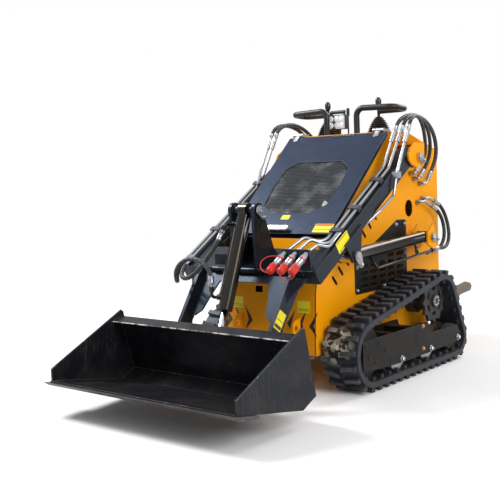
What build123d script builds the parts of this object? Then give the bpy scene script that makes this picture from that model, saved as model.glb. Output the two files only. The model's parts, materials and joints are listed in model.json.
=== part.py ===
"""Compact stand-on track loader: tracked chassis, lift arms, bucket, hood and controls.

Millimetres.  Sizes are set out on a working grid (X forward from the boom's side of the
hull, Y to the machine's left, Z up from the ground); export moves X so that the origin is
the middle of the footprint.
"""
from math import acos, atan2, cos, hypot, pi, radians, sin, tan
import os

from build123d import *

os.makedirs("parts", exist_ok=True)

# ---------------------------------------------------------------- driving dimensions
# hull
HULL_HALF = 253.0          # outside of the side panels
HULL_REAR = -498.0
HULL_BOTTOM = 168.0
SHEET = 6.0                # hull plate
CONSOLE_Z = 1140.0         # flat part of the console
CONSOLE_BEND_X = -200.0
HULL_REAR_TOP = 1051.0
# (x, z) down the hull's nose, from under the hood to the belly
NOSE = [(566.0, 672.0), (616.0, 449.0), (627.0, 293.0), (631.0, 215.0), (628.0, HULL_BOTTOM)]

# hood: (x, z) of its top and bottom edges, outer face
HOOD_TOP = (49.0, 1136.0)
HOOD_FOOT = (549.0, 692.0)
HOOD_HALF = HULL_HALF + 31.0
HOOD_SHEET = 4.0
HOOD_FLANGE = 20.0
HOOD_PIVOT = (40.0, 1147.0)
HINGE_R = 6.0
HOOD_GAP = 6.0             # under the hood's flanges

# lift arms
PIVOT = (-46.0, 1014.0)
ARM_IN = HULL_HALF + 54.0
ARM_OUT = ARM_IN + 70.0
ARM_DEPTH = 66.0
ARM_SLOPE = -31.8          # degrees below the horizontal, at rest
ARM_TOE = (754.0, 502.0)   # lower front corner
ARM_WALL = 6.0
ARM_HUB_R = 50.0
EAR_GAP = 6.0              # beside an arm or an eye
EAR = 10.0                 # ear plate thickness
PIVOT_PIN_R = 20.0
FIT = 0.1                  # radial clearance of a running pin

# lift cylinders
LIFT_REAR = (-177.0, 625.0)
LIFT_FRONT = (499.0, 593.0)
LIFT_BARREL_R = 29.0
LIFT_ROD_SHOWS = 64.8      # from the barrel's end to the rod eye's pin
LIFT_BARREL_LENGTH = hypot(LIFT_FRONT[0] - LIFT_REAR[0], LIFT_FRONT[1] - LIFT_REAR[1]) - LIFT_ROD_SHOWS
LIFT_ROD_R = 16.0
LIFT_PIN_R = 15.0
LIFT_EYE_R = 28.0

# mast and tilt cylinder
MAST_PIN = (765.0, 808.0)
MAST_HALF = 68.0
MAST_PLATE = 12.0
TILT_PIN = (974.0, 268.0)
TILT_BARREL_R = 31.0
TILT_ROD_SHOWS = 136.0
TILT_BARREL_LENGTH = hypot(TILT_PIN[0] - MAST_PIN[0], TILT_PIN[1] - MAST_PIN[1]) - TILT_ROD_SHOWS
TILT_ROD_R = 15.0
TILT_PIN_R = 14.0
TILT_EYE_R = 24.0
TILT_EYE_HALF = 22.0
TILT_EAR = 12.0
PIN_GAP = 4.0              # beside the eyes and legs that turn on a pin

# hydraulic pipes and hoses
PIPE_R = 7.0
PIPE_GAP = 5.0             # between an arm and the pipes on it
FERRULE_R = 11.0
HOSE_R = 9.0

# legs of the arm frame and the bucket's lower hinge
BUCKET_PIN = (940.0, 145.0)
BUCKET_PIN_R = 15.0
LEG_Y = ARM_IN - 54.0      # middle of each leg plate
LEG_HALF = 9.0
LEG_END_R = 34.0
PIN_EAR = 12.0             # bucket's ears beside the legs

TRACK_IN = HULL_HALF + 12.0
TRACK_OUT = TRACK_IN + 180.0

# bucket: outer profile of the folded sheet, cutting edge to top lip (x, z)
BUCKET_FLOOR_FRONT = (1470.0, 139.0)
BUCKET_HEEL = (1076.0, 70.0)
BUCKET_KNEE = (989.0, 108.0)
BUCKET_TOP = (1066.0, 358.0)
BUCKET_LIP = (1114.0, 339.0)
BUCKET_HALF = TRACK_OUT + 60.0
BUCKET_SHEET = 6.0
BUCKET_CHEEK = 8.0
EDGE_HALF = BUCKET_HALF + 13.5
EDGE_REACH = 22.0          # edge ahead of the floor
EDGE_PLATE = 14.0

# undercarriage: name, x, z, radius of the belt's inner face there
BELT_ROUND = [("idler", 456.0, 167.0, 122.0),
              ("sprocket", -185.0, 310.0, 108.0),
              ("rear roller", -322.0, 112.0, 67.0)]
BELT_PLY = 24.0
LUG_HEIGHT = 21.0
LUG_PITCH = 60.0
ROLLER_X = [230.0, -43.0]
ROLLER_Z = 104.0
ROLLER_R = 59.0
SEAT = 0.3                 # between wheel and belt
FRAME_PLATE = 8.0


# ---------------------------------------------------------------- helpers
def side_outline(points, y_low, y_high, corner=0.0):
    """Plate cut to an X-Z outline, from y_low to y_high."""
    face = make_face(Polyline(*points, close=True))
    if corner:
        face = fillet(face.vertices(), corner)
    return extrude(Plane.XZ.offset(-y_low) * face, amount=-(y_high - y_low))


def front_outline(points, x_low, x_high, corner=0.0):
    """Plate cut to a Y-Z outline, from x_low to x_high."""
    face = make_face(Polyline(*points, close=True))
    if corner:
        face = fillet(face.vertices(), corner)
    return extrude(Plane.YZ.offset(x_low) * face, amount=x_high - x_low)


def block(x_low, x_high, y_low, y_high, z_low, z_high):
    """Box between two corners."""
    size = Box(x_high - x_low, y_high - y_low, z_high - z_low)
    return Pos((x_low + x_high) / 2, (y_low + y_high) / 2, (z_low + z_high) / 2) * size


def rod(start, end, radius):
    """Round bar between two points."""
    run = Vector(*end) - Vector(*start)
    return extrude(Plane(origin=start, z_dir=run) * Circle(radius), amount=run.length)


def cross_rod(centre, y_low, y_high, radius):
    """Round bar along Y at an (x, z) centre."""
    return rod((centre[0], y_low, centre[1]), (centre[0], y_high, centre[1]), radius)


def tube(points, radius, bend):
    """Bent tube through the points, with one bend radius."""
    path = FilletPolyline(*points, radius=bend)
    return sweep(Plane(origin=path @ 0, z_dir=path % 0) * Circle(radius), path=path)


def pipe(points, radius, bends):
    """Round pipe through the points, with one bend radius at each inner point."""
    path = FilletPolyline(*points, radius=bends)
    return sweep(Plane(origin=path @ 0, z_dir=path % 0) * Circle(radius), path=path)


def hose_bends(points):
    """The widest bend that the two runs beside each inner point allow."""
    bends = []
    for before, here, after in zip(points, points[1:], points[2:]):
        first, second = Vector(*here) - Vector(*before), Vector(*after) - Vector(*here)
        turn = radians(first.get_angle(second))
        bends.append(0.45 * min(first.length, second.length) / tan(turn / 2))
    return bends


def along(start, end, distance, lift=0.0):
    """(x, z) point at a distance from start towards end, lifted square to that line."""
    length = hypot(end[0] - start[0], end[1] - start[1])
    ux, uz = (end[0] - start[0]) / length, (end[1] - start[1]) / length
    return (start[0] + ux * distance - uz * lift, start[1] + uz * distance + ux * lift)


def along_3d(start, end, distance):
    """Point at a distance from start towards end."""
    run = Vector(*end) - Vector(*start)
    return tuple(Vector(*start) + run * (distance / run.length))


def strip(points, thickness):
    """Closed outline of a folded sheet: the points, and the same line moved to its left."""
    inner = []
    for i, here in enumerate(points):
        before = points[max(i - 1, 0)]
        after = points[min(i + 1, len(points) - 1)]
        turns = []
        for a, b in ((before, here), (here, after)):
            if a != b:
                length = hypot(b[0] - a[0], b[1] - a[1])
                turns.append((-(b[1] - a[1]) / length, (b[0] - a[0]) / length))
        nx = sum(t[0] for t in turns) / len(turns)
        nz = sum(t[1] for t in turns) / len(turns)
        square = thickness / (nx * nx + nz * nz)
        inner.append((here[0] + nx * square, here[1] + nz * square))
    return list(points) + inner[::-1]


def both_sides(solid):
    """The solid and its mirror image on the machine's other side."""
    return Part() + [solid, mirror(solid, about=Plane.XZ)]


NODES = {}


def node(name, solid):
    NODES[name] = solid


# ---------------------------------------------------------------- hull
hood_dir = (HOOD_FOOT[0] - HOOD_TOP[0], HOOD_FOOT[1] - HOOD_TOP[1])
HOOD_LENGTH = hypot(*hood_dir)
SILL = HOOD_FLANGE + HOOD_GAP                      # hull edge below the hood's face


def hood_point(distance, depth=0.0):
    """(x, z) down the hood from its top edge, and depth below its face."""
    return along(HOOD_TOP, HOOD_FOOT, distance, -depth)


hull_edge_top = hood_point(0.0, SILL)
hull_edge_foot = hood_point(HOOD_LENGTH + HOOD_GAP, SILL)
console_sheet = strip([(hull_edge_top[0], CONSOLE_Z), (CONSOLE_BEND_X, CONSOLE_Z),
                       (HULL_REAR, HULL_REAR_TOP)], SHEET)
under_console = console_sheet[:2:-1]
hull_side = NOSE[::-1] + [hull_edge_foot, hull_edge_top] + under_console + [(HULL_REAR, HULL_BOTTOM)]

# side grille: outline (x, z), inset window behind it
GRILLE = [(311.0, 395.0), (-158.0, 395.0), (-158.0, 712.0), (-73.0, 714.0), (311.0, 541.0)]
GRILLE_LAP = 22.0
GRILLE_SHEET = 4.0
SLOT = (60.0, 18.0)
SLOT_PITCH = (80.5, 31.0)
SLOT_FIRST = (235.0, 426.0)
VENT = (56.0, 15.0)
VENT_FIRST, VENT_STEP, VENT_COUNT = (473.0, 480.0), (-49.4, 38.0), 8
HATCH = (-196.0, 764.0, 84.0, 70.0)                # oval hand hole: x, z, height, width


def side_cut(x, z, length, width, turn, y_low, y_high):
    """Round-ended slot through a side panel."""
    shape = Pos(x, z) * Rot(0, 0, turn) * SlotOverall(length, width)
    return extrude(Plane.XZ.offset(-y_low) * shape, amount=-(y_high - y_low))


window = [(GRILLE[0][0] - GRILLE_LAP, GRILLE[0][1] + GRILLE_LAP),
          (GRILLE[1][0] + GRILLE_LAP, GRILLE[1][1] + GRILLE_LAP),
          (GRILLE[2][0] + GRILLE_LAP, GRILLE[2][1] - GRILLE_LAP),
          (GRILLE[3][0] - GRILLE_LAP, GRILLE[3][1] - 2 * GRILLE_LAP),
          (GRILLE[4][0] - GRILLE_LAP, GRILLE[4][1] - GRILLE_LAP)]
panel = side_outline(hull_side, HULL_HALF - SHEET, HULL_HALF)
cut_low, cut_high = HULL_HALF - 2 * SHEET, HULL_HALF + SHEET
panel -= side_outline(window, cut_low, cut_high, 12.0)
panel -= side_cut(HATCH[0], HATCH[1], HATCH[2], HATCH[3], 90.0, cut_low, cut_high)
for i in range(VENT_COUNT):
    centre = (VENT_FIRST[0] + i * VENT_STEP[0], VENT_FIRST[1] + i * VENT_STEP[1])
    panel -= side_cut(*centre, *VENT, 48.0, cut_low, cut_high)
node("side_panel_left", panel)
node("side_panel_right", mirror(panel, about=Plane.XZ))

grille = side_outline(GRILLE, HULL_HALF, HULL_HALF + GRILLE_SHEET, 14.0)
for column in range(5):
    for row in range(5 if column > 2 else 4):
        centre = (SLOT_FIRST[0] - column * SLOT_PITCH[0], SLOT_FIRST[1] + row * SLOT_PITCH[1])
        grille -= side_cut(*centre, *SLOT, 0.0, cut_low, cut_high)
node("side_grilles", both_sides(grille))

inside = HULL_HALF - SHEET
nose = side_outline(strip(NOSE, -SHEET), -inside, inside)
TOOL_HOLE = (-85.0, -42.0, 430.0, 458.0)           # y, y, z, z
nose -= block(560.0, 660.0, TOOL_HOLE[0], TOOL_HOLE[1], TOOL_HOLE[2], TOOL_HOLE[3])
node("front_panel", nose)
node("belly_plate", block(HULL_REAR + SHEET, NOSE[-1][0] - SHEET, -inside, inside,
                          HULL_BOTTOM, HULL_BOTTOM + SHEET))
node("rear_panel", block(HULL_REAR, HULL_REAR + SHEET, -inside, inside, HULL_BOTTOM,
                         HULL_REAR_TOP - SHEET))
node("console", side_outline(console_sheet, -HULL_HALF, HULL_HALF))

# ---------------------------------------------------------------- engine bay
ENGINE = (60.0, 430.0, -170.0, 170.0)              # x, x, y, y
ENGINE_TOP = 640.0
node("engine_block", block(*ENGINE, HULL_BOTTOM + SHEET, ENGINE_TOP))

# ---------------------------------------------------------------- hood
# window corners: distance down the hood, half width
WINDOW = [(192.0, 125.0), (238.0, 180.0), (360.0, 191.0), (485.0, 179.0), (538.0, 108.0)]
hood_plane = Plane(origin=(HOOD_TOP[0], 0, HOOD_TOP[1]), x_dir=(hood_dir[0], 0, hood_dir[1]),
                   z_dir=(-hood_dir[1], 0, hood_dir[0]))


def on_hood(shape, top, bottom):
    """Extrude a shape drawn on the hood (distance down, y) between two heights off its face."""
    return extrude(hood_plane.offset(bottom) * shape, amount=top - bottom)


def hood_rect(start, end, y_low, y_high):
    return Pos((start + end) / 2, (y_low + y_high) / 2) * Rectangle(end - start, y_high - y_low)


window_points = WINDOW + [(s, -y) for s, y in WINDOW[::-1]]
window_face = fillet(make_face(Polyline(*window_points, close=True)).vertices(), 22.0)
hood = on_hood(hood_rect(0, HOOD_LENGTH, -HOOD_HALF, HOOD_HALF), 0, -HOOD_FLANGE)
hood -= on_hood(hood_rect(-10, HOOD_LENGTH - HOOD_SHEET, -HOOD_HALF + HOOD_SHEET,
                          HOOD_HALF - HOOD_SHEET), -HOOD_SHEET, -2 * HOOD_FLANGE)
hood -= on_hood(window_face, HOOD_SHEET, -2 * HOOD_FLANGE)
node("hood_panel", hood)

SCREEN_LAP = 12.0
SCREEN_DEEP = 3.0
BAR = 3.0
BAR_PITCH = 19.0
screen = on_hood(offset(window_face, amount=SCREEN_LAP), -HOOD_SHEET, -HOOD_SHEET - SCREEN_DEEP)
open_face = offset(window_face, amount=-BAR)
cells = Sketch() + [Pos(WINDOW[0][0] + BAR_PITCH * (i + 0.5), BAR_PITCH * j)
                    * Rectangle(BAR_PITCH - BAR, BAR_PITCH - BAR)
                    for i in range(18) for j in range(-10, 11)]
screen -= on_hood(cells & open_face, 0, -2 * HOOD_FLANGE)
node("hood_screen", screen)
LATCH = (649.0, -3.0, 126.0, 28.0)                 # distance down, y, length, width
LATCH_STAND = 12.0                                 # handle's height off the hood
latch_shape = Pos(LATCH[0], LATCH[1]) * Rot(0, 0, 90) * SlotOverall(LATCH[2], LATCH[3])
handle = on_hood(latch_shape, LATCH_STAND + 9, LATCH_STAND)
handle += on_hood(Pos(LATCH[0], LATCH[1]) * Circle(9.0), LATCH_STAND, 0)
node("hood_latch", handle)

# ---------------------------------------------------------------- boom towers and lift mounts
OUTER_EAR = ARM_OUT + EAR_GAP
TOWER_EAR = [(-110.0, 1078.0), (-35.0, 1081.0), (-11.0, 1072.0), (25.0, 1053.0), (39.0, 1026.0),
             (33.0, 999.0), (7.0, 978.0), (-40.0, 962.0), (-83.0, 977.0), (-107.0, 1007.0),
             (-110.0, 1040.0)]
TOWER_WALL = (-110.0, -102.0)                      # x of the wall behind the arm's hub
WALL_TOP = CONSOLE_Z - 4.0
WALL_FOOT = 1003.0
CHAMFER_Y = ARM_IN - 5.0                               # where the wall's top corner is cut off
tower = side_outline(TOWER_EAR, OUTER_EAR, OUTER_EAR + EAR)
tower += front_outline([(HULL_HALF, WALL_FOOT), (HULL_HALF, WALL_TOP), (CHAMFER_Y, WALL_TOP),
                        (OUTER_EAR + EAR, TOWER_EAR[0][1]), (OUTER_EAR + EAR, TOWER_EAR[-1][1]),
                        (OUTER_EAR, WALL_FOOT)], *TOWER_WALL)
tower += block(TOWER_WALL[1], TOWER_WALL[1] + 40, HULL_HALF, OUTER_EAR, TOWER_EAR[0][1] - SHEET,
               TOWER_EAR[0][1])
tower += cross_rod(PIVOT, HULL_HALF, ARM_IN - EAR_GAP, 40.0)
tower += cross_rod(PIVOT, HULL_HALF, OUTER_EAR + EAR + 12.0, PIVOT_PIN_R)
node("boom_tower_left", tower)
node("boom_tower_right", mirror(tower, about=Plane.XZ))

CYL_Y = (ARM_IN + ARM_OUT) / 2
LIFT_EYE_HALF = (ARM_OUT - ARM_IN) / 2 - EAR_GAP
LIFT_EAR = [(-194.0, 689.0), (-237.0, 599.0), (-222.0, 572.0), (-196.0, 566.0), (-140.0, 590.0),
            (-140.0, 650.0)]
mount = side_outline(LIFT_EAR, ARM_OUT, ARM_OUT + EAR)
mount += side_outline(LIFT_EAR, ARM_IN - EAR, ARM_IN)
mount += block(-230.0, -222.0, HULL_HALF, ARM_OUT + EAR, 590.0, 612.0)
mount += cross_rod(LIFT_REAR, HULL_HALF, ARM_OUT + EAR + 10.0, LIFT_PIN_R)
node("lift_mounts", both_sides(mount))

# ---------------------------------------------------------------- lift arms
arm_u = (cos(radians(ARM_SLOPE)), sin(radians(ARM_SLOPE)))
ARM_LENGTH = (ARM_TOE[0] - PIVOT[0]) / arm_u[0]


def arm_point(back, up=0.0):
    """(x, z) at a distance back from the arm's toe, and up square to its lower edge."""
    return (ARM_TOE[0] - arm_u[0] * back - arm_u[1] * up,
            ARM_TOE[1] - arm_u[1] * back + arm_u[0] * up)


arm = side_outline([arm_point(0), arm_point(0, ARM_DEPTH), arm_point(ARM_LENGTH, ARM_DEPTH),
                    arm_point(ARM_LENGTH)], ARM_IN, ARM_OUT)
arm -= side_outline([arm_point(ARM_WALL, ARM_WALL), arm_point(ARM_WALL, ARM_DEPTH - ARM_WALL),
                     arm_point(ARM_LENGTH - 90, ARM_DEPTH - ARM_WALL),
                     arm_point(ARM_LENGTH - 90, ARM_WALL)], ARM_IN + ARM_WALL, ARM_OUT - ARM_WALL)
arm += cross_rod(PIVOT, ARM_IN, ARM_OUT, ARM_HUB_R)
arm -= cross_rod(PIVOT, ARM_IN - 1, ARM_OUT + 1, PIVOT_PIN_R + FIT)

# bracket that takes the lift cylinder's eye under the arm
BRACKET = [arm_point(225, 30), (538.0, 600.0), (520.0, 570.0), (492.0, 560.0), (466.0, 574.0),
           arm_point(385, 30)]
for low, high in ((ARM_OUT, ARM_OUT + EAR), (ARM_IN - EAR, ARM_IN)):
    arm += side_outline(BRACKET, low, high)
arm += cross_rod(LIFT_FRONT, ARM_OUT + EAR, ARM_OUT + EAR + 10.0, LIFT_PIN_R + 6.0)
node("arm_left", arm)
node("arm_right", mirror(arm, about=Plane.XZ))

# cross beam between the arms' toes
BEAM_DEEP = 150.0
beam = side_outline([arm_point(0), arm_point(0, ARM_DEPTH), arm_point(BEAM_DEEP, ARM_DEPTH),
                     arm_point(BEAM_DEEP)], -ARM_IN, ARM_IN)
beam -= side_outline([arm_point(ARM_WALL, ARM_WALL), arm_point(ARM_WALL, ARM_DEPTH - ARM_WALL),
                      arm_point(BEAM_DEEP - ARM_WALL, ARM_DEPTH - ARM_WALL),
                      arm_point(BEAM_DEEP - ARM_WALL, ARM_WALL)], -ARM_IN + ARM_WALL,
                     ARM_IN - ARM_WALL)
node("cross_beam", beam)

# arch plate between the legs, on its own plane down from the beam's front
ARCH_TOP = arm_point(0, 28)
ARCH_FOOT = (912.0, 310.0)
arch_run = (ARCH_FOOT[0] - ARCH_TOP[0], ARCH_FOOT[1] - ARCH_TOP[1])
ARCH_LENGTH = hypot(*arch_run)
arch_plane = Plane(origin=(ARCH_TOP[0], 0, ARCH_TOP[1]), x_dir=(arch_run[0], 0, arch_run[1]),
                   z_dir=(-arch_run[1], 0, arch_run[0]))
ARCH_SHEET = 8.0
LEG_IN, LEG_OUT = LEG_Y - LEG_HALF, LEG_Y + LEG_HALF
# opening between the legs: distance down the plate, half width
ARCH_HOLE = [(35.0, 138.0), (102.0, 159.0), (182.0, 178.0), (208.0, 208.0), (216.0, LEG_IN)]
GUSSET = (327.0, 119.0)                            # y at the beam, length down the leg
hole_points = ARCH_HOLE + [(ARCH_HOLE[-1][0] + 20, LEG_IN)]
arch_hole = make_face(Polyline(*hole_points, *[(down, -y) for down, y in hole_points[::-1]], close=True))
arch_hole = fillet(arch_hole.vertices().sort_by(Axis.X)[:6], 16.0)
arch_face = make_face(Polyline((0, LEG_IN), (ARCH_HOLE[-1][0], LEG_IN), (ARCH_HOLE[-1][0], -LEG_IN),
                               (0, -LEG_IN), close=True))
arch = extrude(arch_plane * (arch_face - arch_hole), amount=ARCH_SHEET)
# the leg plates run from the beam to the bucket's lower pin, in front of the arch plate
LEG = [arm_point(-38, 54), (957.0, 315.0), (BUCKET_PIN[0] + LEG_END_R, BUCKET_PIN[1] + 8.0),
       (BUCKET_PIN[0] - LEG_END_R, BUCKET_PIN[1] - 4.0), (868.0, 327.0), (796.0, 416.0),
       arm_point(60, 0), arm_point(0, 0), arm_point(0, 54)]
leg = side_outline(LEG, LEG_IN, LEG_OUT) + cross_rod(BUCKET_PIN, LEG_IN, LEG_OUT, LEG_END_R)
leg += cross_rod(BUCKET_PIN, LEG_IN - PIN_GAP - PIN_EAR - 8, LEG_OUT + PIN_GAP + PIN_EAR + 8, BUCKET_PIN_R)
leg += extrude(arch_plane * make_face(Polyline((0, LEG_OUT), (0, GUSSET[0]), (GUSSET[1], LEG_OUT),
                                               close=True)), amount=ARCH_SHEET)
arch += both_sides(leg)
node("arch_frame", arch)

# mast: two plates on the beam and the tilt cylinder's pin
MAST = [arm_point(0, ARM_DEPTH), (MAST_PIN[0] + 33, MAST_PIN[1] - 12), (MAST_PIN[0] + 24, MAST_PIN[1] + 24),
        (MAST_PIN[0], MAST_PIN[1] + 34), (MAST_PIN[0] - 24, MAST_PIN[1] + 24),
        (MAST_PIN[0] - 34, MAST_PIN[1]), arm_point(BEAM_DEEP, ARM_DEPTH)]
MAST_RIM = 16.0                                    # length of the thick rims round the pin
mast = Part()
for side in (-1, 1):
    plate = side_outline(MAST, MAST_HALF - MAST_PLATE, MAST_HALF)
    plate += cross_rod(MAST_PIN, MAST_HALF - MAST_PLATE, MAST_HALF - MAST_PLATE + MAST_RIM, 34.0)
    plate += cross_rod(MAST_PIN, TILT_EYE_HALF + PIN_GAP, MAST_HALF - MAST_PLATE, 20.0)
    mast += plate if side > 0 else mirror(plate, about=Plane.XZ)
mast += side_outline([arm_point(135, ARM_DEPTH), arm_point(135, ARM_DEPTH + 70),
                      arm_point(143, ARM_DEPTH + 70), arm_point(143, ARM_DEPTH)],
                     -MAST_HALF, MAST_HALF)
mast += cross_rod(MAST_PIN, -MAST_HALF - 10, MAST_HALF + 10, TILT_PIN_R)
node("mast", mast)

# ---------------------------------------------------------------- cylinders


def cylinder_pair(base, tip, y, barrel_r, barrel_length, rod_r, base_r, base_half, base_pin,
                  tip_r, tip_half):
    """Barrel with its base eye, and rod with its tip eye, lying between two (x, z) pins."""
    length = hypot(tip[0] - base[0], tip[1] - base[1])

    def at(distance):
        x, z = along(base, tip, distance)
        return (x, y, z)

    barrel = rod(at(base_r * 0.7), at(barrel_length), barrel_r)
    barrel += cross_rod(base, y - base_half, y + base_half, base_r)
    barrel -= rod(at(base_r + 30), at(barrel_length + 1), rod_r + FIT)
    barrel -= cross_rod(base, y - base_half - 1, y + base_half + 1, base_pin + FIT)
    inner = rod(at(base_r + 62), at(length), rod_r)
    inner += cross_rod(tip, y - tip_half, y + tip_half, tip_r)
    inner -= cross_rod(tip, y - tip_half - 1, y + tip_half + 1, base_pin)
    return barrel, inner


barrel, ram = cylinder_pair(LIFT_REAR, LIFT_FRONT, CYL_Y, LIFT_BARREL_R, LIFT_BARREL_LENGTH,
                            LIFT_ROD_R, LIFT_EYE_R, LIFT_EYE_HALF, LIFT_PIN_R, LIFT_EYE_R,
                            LIFT_EYE_HALF)
# steel lines under the barrel, (x, z), each from its hose to its port
LIFT_LINES = [(CYL_Y, 6.0, [(-290.0, 554.0), (256.0, 515.0), (326.0, 577.0)]),
              (CYL_Y - 22.0, 6.0, [(-280.0, 541.0), (-160.0, 539.0), (-118.0, 608.0)])]
for y, line_r, line in LIFT_LINES:
    barrel += tube([(x, y, z) for x, z in line], line_r, 25.0)
    ends = [(x, y, z) for x, z in line[:2]]
    barrel += rod(ends[0], along_3d(*ends, 34.0), FERRULE_R)
barrel += rod((-92.0, CYL_Y, 595.0), (-104.0, CYL_Y, 541.0), 5.0)
for side, turn in (("left", False), ("right", True)):
    node("lift_barrel_" + side, mirror(barrel, about=Plane.XZ) if turn else barrel)
    node("lift_ram_" + side, mirror(ram, about=Plane.XZ) if turn else ram)
barrel, ram = cylinder_pair(MAST_PIN, TILT_PIN, 0.0, TILT_BARREL_R, TILT_BARREL_LENGTH, TILT_ROD_R,
                            TILT_EYE_R + 8, TILT_EYE_HALF, TILT_PIN_R, TILT_EYE_R, TILT_EYE_HALF)
# ports on the tilt barrel, the elbows to their hoses and the line between them
PORT_Y = -42.0
TILT_PORTS = [[(787.0, PORT_Y, 750.0), (846.0, PORT_Y - 8, 752.0), (860.0, -60.0, 716.0)],
              [(908.0, PORT_Y, 446.0), (943.0, PORT_Y - 14, 450.0), (941.0, -57.0, 508.0)]]
for elbow in TILT_PORTS:
    barrel += rod((elbow[0][0], PORT_Y + 22, elbow[0][2]), (elbow[0][0], PORT_Y - 9, elbow[0][2]), 13.0)
    barrel += tube(elbow, PIPE_R, 16.0)
    barrel += rod(along_3d(elbow[-1], elbow[-2], 34.0), elbow[-1], FERRULE_R)
barrel += rod((TILT_PORTS[0][0][0] + 4, PORT_Y, TILT_PORTS[0][0][2] - 10),
              (TILT_PORTS[1][0][0] - 4, PORT_Y, TILT_PORTS[1][0][2] + 10), 6.0)
node("tilt_barrel", barrel)
node("tilt_ram", ram)

# ---------------------------------------------------------------- bucket
BUCKET_LINE = [BUCKET_FLOOR_FRONT, BUCKET_HEEL, BUCKET_KNEE, BUCKET_TOP, BUCKET_LIP]
shell = side_outline(strip(BUCKET_LINE, -BUCKET_SHEET), -BUCKET_HALF + BUCKET_CHEEK,
                     BUCKET_HALF - BUCKET_CHEEK)
CHEEK_LINE = [(1458.0, 138.0), (1458.0, 193.0), (1060.0, 384.0), (1048.0, 374.0), BUCKET_KNEE,
              BUCKET_HEEL]
for low in (-BUCKET_HALF, BUCKET_HALF - BUCKET_CHEEK):
    shell += side_outline(CHEEK_LINE, low, low + BUCKET_CHEEK)
node("bucket_shell", shell)
EDGE_TIP = along(BUCKET_FLOOR_FRONT, BUCKET_HEEL, -EDGE_REACH)
edge = side_outline([EDGE_TIP, along(BUCKET_FLOOR_FRONT, BUCKET_HEEL, 120),
                     along(BUCKET_FLOOR_FRONT, BUCKET_HEEL, 120, EDGE_PLATE),
                     along(BUCKET_FLOOR_FRONT, BUCKET_HEEL, 10, EDGE_PLATE)], -EDGE_HALF, EDGE_HALF)
node("cutting_edge", edge)

HITCH_PLATE = 12.0
HITCH_HALF = LEG_Y + 37.0
hitch = side_outline([along(BUCKET_KNEE, BUCKET_TOP, 4), along(BUCKET_KNEE, BUCKET_TOP, 240),
                      along(BUCKET_KNEE, BUCKET_TOP, 240, HITCH_PLATE),
                      along(BUCKET_KNEE, BUCKET_TOP, 4, HITCH_PLATE)], -HITCH_HALF, HITCH_HALF)
for side in (-1, 1):
    for low in (side * LEG_Y - LEG_HALF - PIN_GAP - PIN_EAR, side * LEG_Y + LEG_HALF + PIN_GAP):
        high = low + PIN_EAR
        hitch += side_outline([along(BUCKET_KNEE, BUCKET_TOP, 6, 6), along(BUCKET_KNEE, BUCKET_TOP, 90, 6),
                               (BUCKET_PIN[0], BUCKET_PIN[1] + 26), (BUCKET_PIN[0], BUCKET_PIN[1] - 26)],
                              low, high)
        hitch += cross_rod(BUCKET_PIN, low, high, 26.0)
        hitch -= cross_rod(BUCKET_PIN, low - 1, high + 1, BUCKET_PIN_R + FIT)
    gap = TILT_EYE_HALF + EAR_GAP
    low = gap if side > 0 else -gap - TILT_EAR
    hitch += side_outline([along(BUCKET_KNEE, BUCKET_TOP, 100, 6), along(BUCKET_KNEE, BUCKET_TOP, 220, 6),
                           (TILT_PIN[0] + 4, TILT_PIN[1] + 26), (TILT_PIN[0] - 20, TILT_PIN[1] + 14),
                           (TILT_PIN[0] - 20, TILT_PIN[1] - 14), (TILT_PIN[0] + 4, TILT_PIN[1] - 26)],
                          low, low + TILT_EAR)
    head = side * (gap + TILT_EAR)
    hitch += cross_rod(TILT_PIN, min(head, head + side * 8), max(head, head + side * 8), TILT_PIN_R + 6)
hitch -= side_outline([along(BUCKET_KNEE, BUCKET_TOP, 90, -1), along(BUCKET_KNEE, BUCKET_TOP, 226, -1),
                       along(BUCKET_KNEE, BUCKET_TOP, 226, HITCH_PLATE + 1),
                       along(BUCKET_KNEE, BUCKET_TOP, 90, HITCH_PLATE + 1)], -gap, gap)
node("hitch_plate", hitch)

# ---------------------------------------------------------------- tracks


def belt_path(grow):
    """Tangent runs round the belt's wheels, grown outwards: (start, end, normal), and arcs."""
    runs = []
    count = len(BELT_ROUND)
    for i in range(count):
        _, x0, z0, r0 = BELT_ROUND[i]
        _, x1, z1, r1 = BELT_ROUND[(i + 1) % count]
        normal = atan2(z1 - z0, x1 - x0) - acos((r0 - r1) / hypot(x1 - x0, z1 - z0))
        nx, nz = cos(normal), sin(normal)
        runs.append(((x0 + nx * (r0 + grow), z0 + nz * (r0 + grow)),
                     (x1 + nx * (r1 + grow), z1 + nz * (r1 + grow)), normal))
    return runs


def belt_face(grow):
    """The belt's outline at a distance outside its inner face."""
    runs = belt_path(grow)
    edges = []
    for i, (start, end, normal) in enumerate(runs):
        _, x, z, r = BELT_ROUND[(i + 1) % len(runs)]
        after_start, _, after = runs[(i + 1) % len(runs)]
        turn = (after - normal) % (2 * pi)
        middle = normal + turn / 2
        edges.append(Line(start, end))
        edges.append(ThreePointArc(end, (x + cos(middle) * (r + grow), z + sin(middle) * (r + grow)),
                                   after_start))
    return make_face(edges)


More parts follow.
